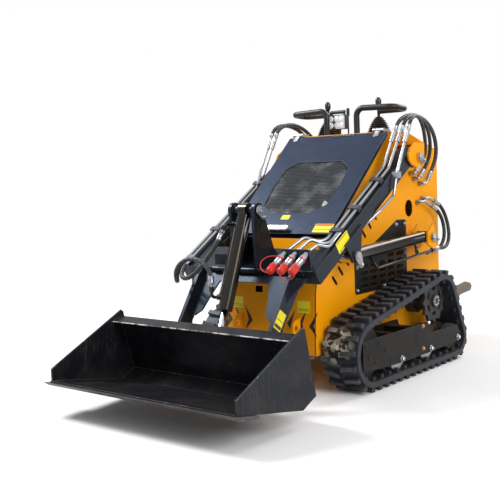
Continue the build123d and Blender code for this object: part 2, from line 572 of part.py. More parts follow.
def belt_stations(grow, pitch):
    """(x, z, outward angle) evenly spaced along the belt at a distance outside its inner face."""
    runs = belt_path(grow)
    pieces = []
    for i, (start, end, normal) in enumerate(runs):
        _, x, z, r = BELT_ROUND[(i + 1) % len(runs)]
        turn = (runs[(i + 1) % len(runs)][2] - normal) % (2 * pi)
        pieces.append(("run", hypot(end[0] - start[0], end[1] - start[1]), start, end, normal))
        pieces.append(("arc", turn * (r + grow), (x, z), r + grow, normal))
    total = sum(piece[1] for piece in pieces)
    count = round(total / pitch)
    stations = []
    for k in range(2 * count):
        travel = total * k / (2 * count)
        for kind, length, first, second, normal in pieces:
            if travel < length:
                break
            travel -= length
        if kind == "run":
            part = travel / length
            stations.append((first[0] + (second[0] - first[0]) * part,
                             first[1] + (second[1] - first[1]) * part, normal))
        else:
            angle = normal + travel / second
            stations.append((first[0] + cos(angle) * second, first[1] + sin(angle) * second, angle))
    return stations


LUG_SINK = 3.0
# one lug's plan: (along the belt, across it from the belt's middle)
LUG_PLAN = [(-17, 7), (-7, 50), (-7, 84), (17, 84), (7, 7)]


def lug(x, z, angle, side):
    """One tread bar standing on the belt, on one side of its middle groove."""
    seat = Plane(origin=(x, (TRACK_IN + TRACK_OUT) / 2, z), x_dir=(-sin(angle), 0, cos(angle)),
                 z_dir=(cos(angle), 0, sin(angle)))
    plan = make_face(Polyline(*[(a, b * side) for a, b in LUG_PLAN], close=True))
    return extrude(seat.offset(-LUG_SINK) * plan, amount=LUG_HEIGHT + LUG_SINK)


belt = extrude(Plane.XZ.offset(-TRACK_IN) * (belt_face(BELT_PLY) - belt_face(0)),
               amount=-(TRACK_OUT - TRACK_IN))
lugs = [lug(x, z, angle, 1 if k % 2 else -1)
        for k, (x, z, angle) in enumerate(belt_stations(BELT_PLY, LUG_PITCH))]
track = belt + lugs
node("track_left", track)
node("track_right", mirror(track, about=Plane.XZ))

# ---------------------------------------------------------------- undercarriage
FRAME_OUT = TRACK_OUT - 2.0
FRAME_IN = TRACK_IN + 5.0
idler, sprocket, rear_roller = BELT_ROUND
FRAME_SIDE = [(552.0, 101.0), (552.0, 235.0), (-20.0, 235.0), (-45.0, 178.0), (-316.0, 178.0),
              (-340.0, 140.0), (-340.0, 96.0), (-60.0, 88.0), (250.0, 88.0)]
AXLE_R = 14.0
SPACERS = [(60.0, 110.0), (240.0, 290.0)]          # x of the square tubes to the hull
SPACER_Z = (176.0, 226.0)
axles = [(x, ROLLER_Z) for x in ROLLER_X] + [(idler[1], idler[2]), (rear_roller[1], rear_roller[2])]
frame = side_outline(FRAME_SIDE, FRAME_OUT - FRAME_PLATE, FRAME_OUT)
frame += side_outline(FRAME_SIDE, FRAME_IN, FRAME_IN + FRAME_PLATE)
for low, high in SPACERS:
    frame += block(low, high, HULL_HALF, FRAME_OUT - FRAME_PLATE, *SPACER_Z)
for centre in axles:
    frame += cross_rod(centre, FRAME_IN, FRAME_OUT, AXLE_R)
node("track_frame_left", frame)
node("track_frame_right", mirror(frame, about=Plane.XZ))


def wheel(centre, radius, y_low, y_high, bore):
    """Plain wheel with its tyre face at the radius and a bore for its axle."""
    return cross_rod(centre, y_low, y_high, radius) - cross_rod(centre, y_low - 1, y_high + 1, bore)


WHEEL_IN, WHEEL_OUT = TRACK_IN + 35.0, TRACK_OUT - 35.0
IDLER_IN, IDLER_OUT = TRACK_IN + 60.0, TRACK_OUT - 60.0
idler_wheel = wheel(idler[1:3], idler[3] - SEAT, IDLER_IN, IDLER_OUT, AXLE_R)
node("idlers", both_sides(idler_wheel))
rollers = Part()
for centre, radius in [((x, ROLLER_Z), ROLLER_R) for x in ROLLER_X] + [(rear_roller[1:3], rear_roller[3])]:
    for low, high in ((WHEEL_IN, WHEEL_IN + 35), (WHEEL_OUT - 35, WHEEL_OUT)):
        rollers += wheel(centre, radius - SEAT, low, high, AXLE_R)
    rollers += wheel(centre, 34.0, WHEEL_IN + 35, WHEEL_OUT - 35, AXLE_R)
node("rollers", both_sides(rollers))

# drive sprocket and its wheel motor on the hull's side
TEETH = 12
SPROCKET_IN = TRACK_IN + 107.0
SPROCKET_OUT = SPROCKET_IN + 16.0
hub = sprocket[1:3]
plate = Circle(sprocket[3] - 14.0)
plate += [Rot(0, 0, k * 360 / TEETH) * Pos(sprocket[3] - 16.0, 0) * Circle(15.0) for k in range(TEETH)]
plate -= [Rot(0, 0, 30 + k * 60) * Pos(62.0, 0) * Rot(0, 0, 90) * SlotOverall(40.0, 18.0)
          for k in range(6)]
teeth = extrude(Plane.XZ.offset(-SPROCKET_IN) * Pos(*hub) * plate, amount=-(SPROCKET_OUT - SPROCKET_IN))
teeth -= cross_rod(hub, SPROCKET_IN - 1, SPROCKET_OUT + 1, 30.0)
node("sprockets", both_sides(teeth))
# (y, radius) of the motor's steps, outwards
MOTOR = [(HULL_HALF, 62.0), (WHEEL_IN, 48.0), (SPROCKET_IN - 12, 40.0), (SPROCKET_IN, 30.0),
         (SPROCKET_OUT + 12, 30.0)]
motor = Part() + [cross_rod(hub, low, high, r) for (low, r), (high, _) in zip(MOTOR, MOTOR[1:])]
node("drive_motors", both_sides(motor))

# ---------------------------------------------------------------- rear platform and tow loops
PLATFORM = [(HULL_REAR, 262.0), (-706.0, 316.0), (-800.0, 326.0), (-862.0, 312.0), (-877.0, 291.0),
            (-862.0, 270.0), (-746.0, 262.0), (-706.0, 250.0), (HULL_REAR, 220.0)]
PLATFORM_HALF = HULL_HALF + 2.0
step = side_outline(PLATFORM, PLATFORM_HALF - 8, PLATFORM_HALF)
step += side_outline(PLATFORM, -PLATFORM_HALF, -PLATFORM_HALF + 8)
deck = block(-860.0, HULL_REAR - 2, -PLATFORM_HALF + 8, PLATFORM_HALF - 8, 282.0, 290.0)
step += deck
node("platform", step)

TOW_RING_R = 7.5
TOW_REACH = 79.0
TOW_Z = (398.0, 478.0)
tow = Part()
for y in (-HULL_HALF + 53, HULL_HALF - 53):
    back = HULL_REAR - TOW_REACH
    path = FilletPolyline((HULL_REAR, y, TOW_Z[1]), (back, y, TOW_Z[1]), (back, y, TOW_Z[0]),
                          (HULL_REAR, y, TOW_Z[0]), radius=0.45 * (TOW_Z[1] - TOW_Z[0]))
    tow += sweep(Plane(origin=path @ 0, z_dir=path % 0) * Circle(TOW_RING_R), path=path)
node("tow_loops", tow)

# tie-down lugs at the foot of the nose
LUG_PLATE = 12.0
TIE_HOLE = (656.0, 288.0, 13.0)                    # x, z, radius
TIE_Y = 166.0
TIE_SHAPE = [(625.0, 240.0), (668.0, 250.0), (682.0, 272.0), (682.0, 304.0), (668.0, 322.0),
             (625.0, 332.0)]
lugs_front = side_outline(TIE_SHAPE, TIE_Y - LUG_PLATE / 2, TIE_Y + LUG_PLATE / 2)
lugs_front -= cross_rod(TIE_HOLE[:2], TIE_Y - LUG_PLATE, TIE_Y + LUG_PLATE, TIE_HOLE[2])
lugs_front -= side_outline([(x, z) for x, z in NOSE] + [(500.0, HULL_BOTTOM), (500.0, 672.0)],
                           TIE_Y - LUG_PLATE, TIE_Y + LUG_PLATE)
node("tie_downs", both_sides(lugs_front))


# ---------------------------------------------------------------- controls
HANDLE_R = 14.5
HANDLE_TOP = CONSOLE_Z + 122.0
HANDLE_END = HULL_HALF + 45.0
bars = Part()
for side in (-1, 1):
    bars += tube([(0.0, side * 88.0, CONSOLE_Z), (0.0, side * 88.0, HANDLE_TOP),
                  (0.0, side * HANDLE_END, HANDLE_TOP - 6), (-120.0, side * HANDLE_END, HANDLE_TOP - 14),
                  (-120.0, side * 140.0, HANDLE_TOP - 14)], HANDLE_R, 38.0)
node("handles", bars)

JOYSTICK_X = -150.0
JOYSTICK_Y = (HULL_HALF - 131.0, -HULL_HALF + 71.0)
BOOT = [(60.0, 0.0), (56.0, 12.0), (50.0, 30.0), (44.0, 48.0), (32.0, 62.0), (10.0, 72.0)]
stick = Part()
for y in JOYSTICK_Y:
    profile = make_face(Polyline((0, 0), *BOOT, (7.0, 72.0), (7.0, 130.0), (13.0, 140.0),
                                 (15.0, 165.0), (9.0, 178.0), (0, 178.0), close=True))
    stick += Pos(JOYSTICK_X, y, CONSOLE_Z) * revolve(Plane.XZ * profile, axis=Axis.Z)
node("joysticks", stick)

LAMP = (-30.0, -50.0, 1168.0, 1240.0, 104.0)       # x, y, z low, z high, width
lamp = block(LAMP[0] - 30, LAMP[0], LAMP[1] - LAMP[4] / 2, LAMP[1] + LAMP[4] / 2, LAMP[2], LAMP[3])
lamp += cross_rod((LAMP[0] - 15, LAMP[3] + 14.0), LAMP[1] - 42, LAMP[1] + 42, 9.0)
for y in (LAMP[1] - 42, LAMP[1] + 34):
    lamp += block(LAMP[0] - 20, LAMP[0] - 10, y, y + 8, LAMP[3], LAMP[3] + 14)
lamp += block(LAMP[0] - 20, LAMP[0] - 10, LAMP[1] - 14, LAMP[1] + 14, CONSOLE_Z, LAMP[2])
node("work_lamp", lamp)

LEVER = (-100.0, -26.0, 95.0, 39.0)                # x, y, height of the stem, of the grip
stem_top = (*LEVER[:2], CONSOLE_Z + LEVER[2])
lever = rod((*LEVER[:2], CONSOLE_Z), stem_top, 4.0)
lever += rod(stem_top, (*LEVER[:2], stem_top[2] + LEVER[3]), 8.0)
node("control_lever", lever)

# ---------------------------------------------------------------- hood hinges
KNUCKLE_R = 10.0
HINGES_Y = (-HULL_HALF + 18, HULL_HALF - 18)
LEAF_HALF = 13.0                                   # hood's leaf
PIN_HALF = 30.0
hinges, leaves = Part(), Part()
for y in HINGES_Y:
    hinges += cross_rod(HOOD_PIVOT, y - PIN_HALF, y + PIN_HALF, HINGE_R)
    for low, high in ((y - PIN_HALF, y - LEAF_HALF - 1), (y + LEAF_HALF + 1, y + PIN_HALF)):
        hinges += cross_rod(HOOD_PIVOT, low, high, KNUCKLE_R)
        hinges += block(hull_edge_top[0] - 40, hull_edge_top[0], low, high, CONSOLE_Z, CONSOLE_Z + 12)
    hinges += block(hull_edge_top[0] - 40, hull_edge_top[0] - 6, y - PIN_HALF, y + PIN_HALF, CONSOLE_Z,
                    CONSOLE_Z + 4)
    leaf = cross_rod(HOOD_PIVOT, y - LEAF_HALF, y + LEAF_HALF, KNUCKLE_R)
    leaf += on_hood(hood_rect(-7, 30, y - LEAF_HALF, y + LEAF_HALF), 4, 0)
    leaves += leaf - cross_rod(HOOD_PIVOT, y - PIN_HALF, y + PIN_HALF, HINGE_R + FIT)
node("hood_hinges", hinges)
node("hood_leaves", leaves)

# ---------------------------------------------------------------- couplers on the beam's left end
COUPLER_Y = [ARM_IN - 89.0, ARM_IN - 33.0, ARM_IN + 23.0]
COUPLER_DROP = -31.0                               # degrees below the horizontal
COUPLER_START = (784.0, 628.0)                     # on the bracket's front
BRACKET_PLATE = 8.0
BRACKET_TOP = 648.0
coupler_u = (cos(radians(COUPLER_DROP)), sin(radians(COUPLER_DROP)))
bracket_side = side_outline([arm_point(4, ARM_DEPTH), (COUPLER_START[0], BRACKET_TOP),
                             (COUPLER_START[0] - BRACKET_PLATE, BRACKET_TOP), arm_point(18, ARM_DEPTH)],
                            COUPLER_Y[0] - 30, COUPLER_Y[-1] + 30)
bracket_front = front_outline([(COUPLER_Y[0] - 30, 540.0), (COUPLER_Y[0] - 14, BRACKET_TOP),
                               (COUPLER_Y[-1] + 14, BRACKET_TOP), (COUPLER_Y[-1] + 30, 540.0)],
                              COUPLER_START[0] - 60, COUPLER_START[0] + 60)
node("coupler_bracket", bracket_side & bracket_front)
couplers = Part()
for y in COUPLER_Y:
    for start, end, radius in ((-2, 34, 11.0), (12, 24, 15.0), (34, 84, 15.0), (84, 130, 18.0)):
        ends = [(COUPLER_START[0] + coupler_u[0] * d, y, COUPLER_START[1] + coupler_u[1] * d)
                for d in (start, end)]
        couplers += rod(*ends, radius)
couplers -= bracket_side
node("couplers", couplers)

# ---------------------------------------------------------------- steel pipes along the arms
PIPE_UP = ARM_DEPTH + PIPE_R + PIPE_GAP


def over_arm(back, y):
    """Centre of a pipe that lies on top of the left arm."""
    x, z = arm_point(back, PIPE_UP)
    return (x, y, z)


# y of the pipes on the arms: two on top, one beside the arm
PIPE_Y = (ARM_IN + 15.0, ARM_IN + 45.0, ARM_OUT + 15.0)
# left side: the pipe's points, from its hose down the arm to a coupler, and its bends
PIPE_NUT = 60.0                                    # from a pipe's top end to its nut
LEFT_PIPES = [
    ([(44.0, PIPE_Y[0], 1134.0), over_arm(754, PIPE_Y[0]), over_arm(170, PIPE_Y[0]), (683.0, 252.0, 690.0),
      (762.0, COUPLER_Y[0], 641.0)], [40.0, 60.0, 30.0]),
    ([(37.0, PIPE_Y[1], 1134.0), over_arm(752, PIPE_Y[1]), over_arm(160, PIPE_Y[1]), (712.0, 302.0, 684.0),
      (762.0, COUPLER_Y[1], 641.0)], [40.0, 60.0, 25.0]),
    ([(46.0, PIPE_Y[2], 1134.0), (153.0, PIPE_Y[2], 938.0), (183.0, PIPE_Y[2], 840.0),
      (304.0, PIPE_Y[2], 779.0), (372.0, CYL_Y, 712.0), (424.0, CYL_Y, 684.0), (435.5, CYL_Y, 703.0)],
     [40.0, 36.0, 36.0, 30.0, 11.0])]
# right side, as the left's mirror image: pipe points and bends
RIGHT_PIPES = [
    ([(75.0, ARM_OUT - 15.0, 1136.0), over_arm(718, ARM_OUT - 15), over_arm(22, ARM_OUT - 15)], [40.0]),
    ([(75.0, PIPE_Y[2], 1136.0), (158.0, PIPE_Y[2], 988.0), over_arm(620, ARM_IN + 28),
      over_arm(22, ARM_IN + 28)], [40.0, 60.0])]
CLAMP_BACK = [250.0, 420.0, 640.0]                 # distances back from the toe
CLAMP = (26.0, 15.0)                               # length, height above the arm


def laid_pipe(points, bends):
    """Pipe with the ferrule of its upper hose."""
    return pipe(points, PIPE_R, bends) + rod(points[0], along_3d(points[0], points[1], PIPE_NUT), FERRULE_R)


def clamp(back, y_low, y_high):
    """Block that holds pipes down on an arm."""
    height = PIPE_UP + PIPE_R + 3
    return side_outline([arm_point(back, ARM_DEPTH), arm_point(back, height),
                         arm_point(back + CLAMP[0], height), arm_point(back + CLAMP[0], ARM_DEPTH)],
                        y_low, y_high)


left_pipes, right_pipes = Part(), Part()
for points, bends in LEFT_PIPES:
    left_pipes += laid_pipe(points, bends)
for points, bends in RIGHT_PIPES:
    right_pipes += laid_pipe(points, bends)
    right_pipes += rod(points[-1], along_3d(points[-1], points[-2], 30.0), FERRULE_R)
for back in CLAMP_BACK:
    left_pipes += clamp(back, ARM_IN + 2, ARM_OUT - 12)
    right_pipes += clamp(back, ARM_IN + 15, ARM_OUT - 2)
left_pipes += block(136.0, 170.0, ARM_OUT, ARM_OUT + 29, 920.0, 948.0)
for x, y, z in [points[-1] for points, _ in LEFT_PIPES[:2]]:
    left_pipes += rod((x, y, z), (COUPLER_START[0] - BRACKET_PLATE, y, COUPLER_START[1] + 4), 10.0)
third = pipe([over_arm(250, ARM_OUT - 15), over_arm(150, ARM_OUT - 15), (728.0, 346.0, 662.0),
              (762.0, COUPLER_Y[2], 641.0)], PIPE_R, [40.0, 20.0])
third += rod((762.0, COUPLER_Y[2], 641.0), (COUPLER_START[0] - BRACKET_PLATE, COUPLER_Y[2],
                                            COUPLER_START[1] + 4), 10.0)
left_pipes += third
left_pipes -= arm + bracket_side
node("arm_pipes", left_pipes + mirror(right_pipes, about=Plane.XZ))

# ---------------------------------------------------------------- hydraulic hoses
# fittings on the hull's side, on the left: nipple (x, z), the elbow's (x, reach off the hull, z)
# at its corner and at the hose's end, and whether the right side has it too
HULL_PORTS = [
    ((-206.0, 936.0), (-206.0, 33.0, 936.0), (-225.0, 37.0, 955.0), True),
    ((-240.0, 908.0), (-240.0, 33.0, 908.0), (-260.0, 37.0, 928.0), True),
    ((-296.0, 884.0), (-318.0, 35.0, 884.0), (-338.0, 38.0, 914.0), False),
    ((-320.0, 806.0), (-344.0, 33.0, 808.0), (-402.0, 38.0, 786.0), True),
    ((-270.0, 790.0), (-300.0, 33.0, 794.0), (-374.0, 39.0, 762.0), True)]
FITTING_BEND = 11.0
left_fittings, right_fittings = Part(), Part()
hull_ends = []
for (x, z), corner, end, mirrored in HULL_PORTS:
    corner, end = [(a, HULL_HALF + reach, b) for a, reach, b in (corner, end)]
    hull_ends.append((end, corner))
    fitting = cross_rod((x, z), HULL_HALF, HULL_HALF + 18, 12.0)
    fitting += pipe([(x, HULL_HALF + 17, z), corner, end], PIPE_R, [FITTING_BEND])
    fitting += rod(along_3d(end, corner, 16.0), end, FERRULE_R)
    left_fittings += fitting
    if mirrored:
        right_fittings += fitting
node("hull_fittings", left_fittings + mirror(right_fittings, about=Plane.XZ))

# ends of the steel lines that hoses meet: (end, a point further along the line)
left_ends = [(points[0], points[1]) for points, _ in LEFT_PIPES]
right_ends = [(points[0], points[1]) for points, _ in RIGHT_PIPES]
beam_ends = [(points[-1], points[-2]) for points, _ in RIGHT_PIPES]
lift_ends = [((line[0][0], y, line[0][1]), (line[1][0], y, line[1][1])) for y, _, line in LIFT_LINES]
tilt_ends = [tuple((x, -y, z) for x, y, z in (elbow[-1], elbow[-2])) for elbow in TILT_PORTS]


def from_hull(points):
    """The points with their middle column measured out from the hull's side."""
    return [(x, HULL_HALF + reach, z) for x, reach, z in points]


# name, side, first fitting, straight length there, inner points on the left side or as the
# left's mirror image, straight length at the last fitting, last fitting
HOSES = [
    ("boom_hose_left_1", 1, left_ends[0], 50.0, from_hull([
        (-44, 70, 1206), (-120, 71, 1218), (-206, 72, 1208), (-284, 72, 1176), (-342, 69, 1126),
        (-374, 64, 1064), (-380, 56, 1004)]), 45.0, hull_ends[2]),
    ("boom_hose_left_2", 1, left_ends[1], 50.0, from_hull([
        (-48, 96, 1206), (-124, 93, 1214), (-202, 88, 1192), (-262, 81, 1144), (-298, 72, 1082),
        (-308, 62, 1020)]), 38.0, hull_ends[1]),
    ("boom_hose_left_3", 1, left_ends[2], 50.0, from_hull([
        (-28, 131, 1205), (-98, 117, 1208), (-162, 101, 1178), (-216, 85, 1126), (-250, 71, 1066),
        (-262, 59, 1022)]), 36.0, hull_ends[0]),
    ("boom_hose_right_1", -1, right_ends[0], 50.0, from_hull([
        (-8, 112, 1206), (-88, 113, 1214), (-168, 109, 1196), (-238, 99, 1150), (-280, 85, 1088),
        (-298, 69, 1024)]), 38.0, hull_ends[1]),
    ("boom_hose_right_2", -1, right_ends[1], 50.0, from_hull([
        (-6, 141, 1206), (-82, 141, 1210), (-154, 128, 1188), (-210, 110, 1140), (-246, 89, 1082),
        (-262, 69, 1030)]), 36.0, hull_ends[0])]
for side, turn in (("left", 1), ("right", -1)):
    HOSES += [
        ("lift_hose_%s_1" % side, turn, hull_ends[3], 40.0, from_hull([
            (-474, 52, 722), (-484, 64, 664), (-472, 76, 606), (-434, 85, 564), (-382, 89, 551)]),
         44.0, lift_ends[0]),
        ("lift_hose_%s_2" % side, turn, hull_ends[4], 40.0, from_hull([
            (-446, 50, 700), (-454, 58, 646), (-438, 65, 598), (-398, 68, 561), (-360, 67.5, 546)]),
         38.0, lift_ends[1])]
HOSES += [
    ("tilt_hose_1", -1, beam_ends[1], 40.0, [
        (850, 318, 533), (881, 284, 517), (900, 243, 515), (904, 202, 530), (898, 162, 562),
        (888, 126, 604), (879, 96, 644)], 36.0, tilt_ends[0]),
    ("tilt_hose_2", -1, beam_ends[0], 40.0, [
        (846, 350, 530), (876, 322, 508), (908, 290, 502), (936, 267, 518), (950, 256, 552),
        (944, 236, 586), (938, 198, 606), (937, 153, 610), (938, 112, 600), (939, 78, 576)],
     34.0, tilt_ends[1])]
for name, turn, first, first_run, inner, last_run, last in HOSES:
    route = [first[0], along_3d(*first, -first_run), *inner, along_3d(*last, -last_run), last[0]]
    bends = hose_bends(route)
    print(name, "bend radii", [round(bend) for bend in bends])
    print(name, "route", [tuple(round(a, 1) for a in point) for point in route])
    hose = pipe(route, HOSE_R, bends)
    node(name, hose if turn > 0 else mirror(hose, about=Plane.XZ))

# ---------------------------------------------------------------- export
FRONT = EDGE_TIP[0]
REAR = min(x for x, z in PLATFORM)
MIDDLE = (FRONT + REAR) / 2
for name, solid in NODES.items():
    export_step(Pos(-MIDDLE, 0, 0) * solid, "parts/" + name + ".step")
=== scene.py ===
"""Looks of the stand-on track loader: finishes, hoses, labels, fasteners and the stage.

Sizes are in millimetres, and so are places on the part's own grid, which at() takes to the row frame,
in metres. The hoses' routes, the camera and the lamps are given in the row frame itself."""

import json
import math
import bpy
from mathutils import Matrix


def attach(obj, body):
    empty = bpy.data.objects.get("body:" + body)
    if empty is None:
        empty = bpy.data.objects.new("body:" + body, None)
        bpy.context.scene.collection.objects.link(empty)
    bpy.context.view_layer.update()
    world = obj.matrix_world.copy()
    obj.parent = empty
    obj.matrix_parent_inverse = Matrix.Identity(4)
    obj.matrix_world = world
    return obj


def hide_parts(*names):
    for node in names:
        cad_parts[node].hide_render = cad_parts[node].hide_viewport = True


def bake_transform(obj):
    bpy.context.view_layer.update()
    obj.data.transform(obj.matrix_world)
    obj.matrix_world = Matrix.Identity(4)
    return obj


bl_info = {
    "name": "Stand-on track loader",
    "version": (1, 0, 0),
    "blender": (4, 5, 0),
    "location": "View3D > Sidebar > Loader",
    "description": "Dresses the loader's fixed frame with its finishes, hoses and small parts",
    "category": "Object",
}

import bmesh
import bpy
import numpy as np
from bpy.props import FloatProperty, FloatVectorProperty, PointerProperty
from mathutils import Matrix, Vector

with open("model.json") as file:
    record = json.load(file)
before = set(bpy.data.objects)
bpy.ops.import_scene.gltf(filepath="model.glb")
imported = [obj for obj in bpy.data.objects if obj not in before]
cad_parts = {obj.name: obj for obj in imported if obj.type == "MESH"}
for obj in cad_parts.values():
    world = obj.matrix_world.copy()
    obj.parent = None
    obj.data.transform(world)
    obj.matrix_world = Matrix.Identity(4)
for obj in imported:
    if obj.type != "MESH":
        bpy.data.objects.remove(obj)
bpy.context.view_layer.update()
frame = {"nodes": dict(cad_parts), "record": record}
BODY_OF = {node: body for body, nodes in frame["record"]["behaviour"]["bodies"].items()
           for node in nodes}

MIDDLE = 307.335            # where the row frame's origin lies on the part's grid, along X
ACROSS, UP = (0, 1, 0), (0, 0, 1)


def at(points):
    """Grid points in millimetres, in the row frame in metres: (x - MIDDLE, y, z) / 1000."""
    return (np.asarray(points, float) - (MIDDLE, 0.0, 0.0)) / 1000.0


def on_grid(rows, key):
    """Grid points in millimetres of a mesh's vertices, key co, or of its faces' middles, key center."""
    flat = np.empty(len(rows) * 3)
    rows.foreach_get(key, flat)
    return flat.reshape(-1, 3) * 1000 + (MIDDLE, 0, 0)


# ---------- surfaces
def ring_faces(rows, around):
    """Quads between neighbouring rings of points, each ring closed on itself, and their uv:
    u = share of the way round, v = the ring's number."""
    r, c = np.arange(rows - 1)[:, None], np.arange(around)[None, :]
    c1 = (c + 1) % around
    corners = (r * around + c, r * around + c1, (r + 1) * around + c1, (r + 1) * around + c)
    u = np.stack([c + 0 * r, c + 1 + 0 * r, c + 1 + 0 * r, c + 0 * r], -1) / around
    v = np.stack([r + 0 * c, r + 0 * c, r + 1 + 0 * c, r + 1 + 0 * c], -1)
    return np.stack(corners, -1).reshape(-1, 4), np.stack([u, v], -1).reshape(-1, 2)


def capped(rings, mark):
    """A part from rings of points: quads between the rings and one flat face over each end."""
    rows, around = rings.shape[:2]
    quads, uv = ring_faces(rows, around)
    last = (rows - 1) * around
    faces = quads.tolist() + [list(range(around))[::-1], list(range(last, last + around))]
    return rings.reshape(-1, 3), faces, mark, np.concatenate([uv, np.zeros((2 * around, 2))])


def unit(vectors):
    """The same directions at length 1."""
    vectors = np.asarray(vectors, float)
    return vectors / np.maximum(np.linalg.norm(vectors, axis=-1, keepdims=True), 1e-12)


def not_along(way):
    """An axis that lies well away from a direction: Z, or X where the direction is near Z."""
    return np.array((0.0, 0.0, 1.0) if abs(way[2]) < 0.8 else (1.0, 0.0, 0.0))


def crosswise(path):
    """Along a path, two vectors square to it that turn as little as they can at each step."""
    tangent = unit(np.gradient(path, axis=0))
    side = np.empty_like(tangent)
    here = not_along(tangent[0])
    for i, along in enumerate(tangent):
        here = unit(here - along * (here @ along))
        side[i] = here
    return side, np.cross(tangent, side)


def bar(path, radius, around=16, mark=0):
    """Round bar along a path: point = centre + r (cos a side + sin a up); r is one value, or one for
    each point of each ring."""
    path = np.asarray(path, float)
    side, up = crosswise(path)
    angle = np.arange(around) * 2 * np.pi / around
    ring = np.cos(angle)[None, :, None] * side[:, None] + np.sin(angle)[None, :, None] * up[:, None]
    r = np.broadcast_to(radius, (len(path), around)) / 1000
    return capped(path[:, None] + r[..., None] * ring, mark)


def turned(profile, centre, axis, around=24, mark=0):
    """Surface of revolution: centre + h axis + r (cos a e + sin a f) for each (r, h) of the profile."""
    axis = unit(axis)
    e = unit(np.cross(axis, not_along(axis)))
    f = np.cross(axis, e)
    angle = np.arange(around) * 2 * np.pi / around
    r, h = np.asarray(profile, float).T / 1000
    ring = np.cos(angle)[:, None] * e + np.sin(angle)[:, None] * f
    return capped(np.asarray(centre, float) + h[:, None, None] * axis + r[:, None, None] * ring, mark)


def slab(outline, origin, across, along, thick, mark=0, slope=0.0):
    """Flat plate: the outline (a, b) at origin + a across + b along, and again a thickness higher.

    slope pulls the upper outline in towards its middle by that share."""
    across, along = unit(across), unit(along)
    flat = np.asarray(outline, float) / 1000
    middle = flat.mean(axis=0)
    upper = middle + (flat - middle) * (1 - slope)
    low, high = (np.asarray(origin, float) + edge[:, :1] * across + edge[:, 1:] * along
                 for edge in (flat, upper))
    points, faces, _, uv = capped(np.stack([low, high + np.cross(across, along) * thick / 1000]), mark)
    return points, faces, mark, 0 * uv


def rounded_outline(width, height, radius, steps=4):
    """Rectangle about the origin, each corner a quarter circle of the radius."""
    turn = np.linspace(0, np.pi / 2, steps + 1)
    corners = [(1, 1), (-1, 1), (-1, -1), (1, -1)]
    return np.concatenate([
        np.stack([a * (width / 2 - radius) + radius * np.cos(turn + quarter * np.pi / 2),
                  b * (height / 2 - radius) + radius * np.sin(turn + quarter * np.pi / 2)], -1)
        for quarter, (a, b) in enumerate(corners)])


# radius and height over the seat, as shares of the bolt's size
BOLT_HEAD = np.array([(0.30, 0.02), (0.56, 0.14), (0.56, 0.58), (0.46, 0.68), (0.1, 0.70)])
BOLT_WASHER = np.array([(0.35, 0.0), (0.82, 0.0), (0.86, 0.06), (0.82, 0.13), (0.3, 0.14)])


def bolt(centre, axis, size, mark=0):
    """Hexagon head with a chamfered crown on a washer, along its axis from the seat."""
    return [turned(BOLT_HEAD * size, centre, axis, 6, mark),
            turned(BOLT_WASHER * size, centre, axis, 20, mark)]


# ---------- pieces
def piece(name, parts, finishes, body, replaces=(), angle=35.0):
    """One object from (points, faces, mark, uv) parts; mark picks the finish of the part's faces."""
    start, points, faces, marks, loops = 0, [], [], [], []
    for verts, part_faces, mark, uv in parts:
        points.append(verts)
        faces += [[i + start for i in face] for face in part_faces]
        marks += [mark] * len(part_faces)
        loops.append(uv)
        start += len(verts)
    mesh = bpy.data.meshes.new(name)
    mesh.from_pydata(np.concatenate(points).tolist(), [], faces)
    mesh.uv_layers.new(name="along").data.foreach_set("uv", np.concatenate(loops).ravel())
    return dress(name, mesh, finishes, marks, body, replaces, angle)


def dress(name, mesh, finishes, marks, body, replaces, angle=35.0):
    """Object that shows a mesh in its finishes, sharp where faces meet at more than the angle."""
    for one in finishes:
        mesh.materials.append(one)
    if marks is not None:
        mesh.polygons.foreach_set("material_index", marks)
    mesh.update()
    mesh.shade_smooth()
    mesh.set_sharp_from_angle(angle=math.radians(angle))
    obj = bpy.data.objects.new(name, mesh)
    bpy.context.scene.collection.objects.link(obj)
    if body:
        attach(obj, body)
    if replaces:
        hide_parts(*replaces)
    return obj


MERGE_WITHIN = 2e-5         # metres between vertices of a CAD node that are one vertex
FLAT_WITHIN = math.radians(0.6)
ROUNDED_FROM = math.radians(28.0)


def softened(node, finishes, width=1.5, segments=2):
    """Copy of a CAD node with its corners rounded over a width in millimetres; where there is a
    second finish, the rounded strips take it."""
    mesh = frame["nodes"][node].data.copy()
    mesh.materials.clear()
    work = bmesh.new()
    work.from_mesh(mesh)
    bmesh.ops.remove_doubles(work, verts=work.verts, dist=MERGE_WITHIN)
    bmesh.ops.dissolve_limit(work, angle_limit=FLAT_WITHIN, verts=work.verts, edges=work.edges)
    work.to_mesh(mesh)
    work.free()
    obj = dress(node + "_finish", mesh, finishes, None, BODY_OF[node], (node,))
    if width:
        rounding = obj.modifiers.new("rounded edges", "BEVEL")
        rounding.width = width / 1000
        rounding.segments = segments
        rounding.limit_method = "ANGLE"
        rounding.angle_limit = ROUNDED_FROM
        rounding.material = min(1, len(finishes) - 1)
    return obj


def mark_faces(obj, which):
    """Faces of a dressed node take the finish whose number is in the array."""
    obj.data.polygons.foreach_set("material_index", np.asarray(which, np.int32))


# ---------- shader nodes
def feed(tree, socket, value):
    """Links a socket to another that feeds it, or gives it a plain value."""
    if isinstance(value, bpy.types.NodeSocket):
        tree.links.new(value, socket)
    else:
        socket.default_value = value


def add(tree, kind, settings=None, **inputs):
    """Shader node; an input, by its name or as _number, takes a value or the socket that feeds it."""
    node = tree.nodes.new("ShaderNode" + kind)
    for key, value in (settings or {}).items():
        setattr(node, key, value)
    for key, value in inputs.items():
        feed(tree, node.inputs[int(key[1:]) if key[0] == "_" else key.replace("_", " ")], value)
    return node


def reckon(tree, operation, *values, clamp=False):
    """Result of a Math node for two or three values."""
    return add(tree, "Math", {"operation": operation, "use_clamp": clamp},
               **{"_%d" % k: value for k, value in enumerate(values)}).outputs[0]


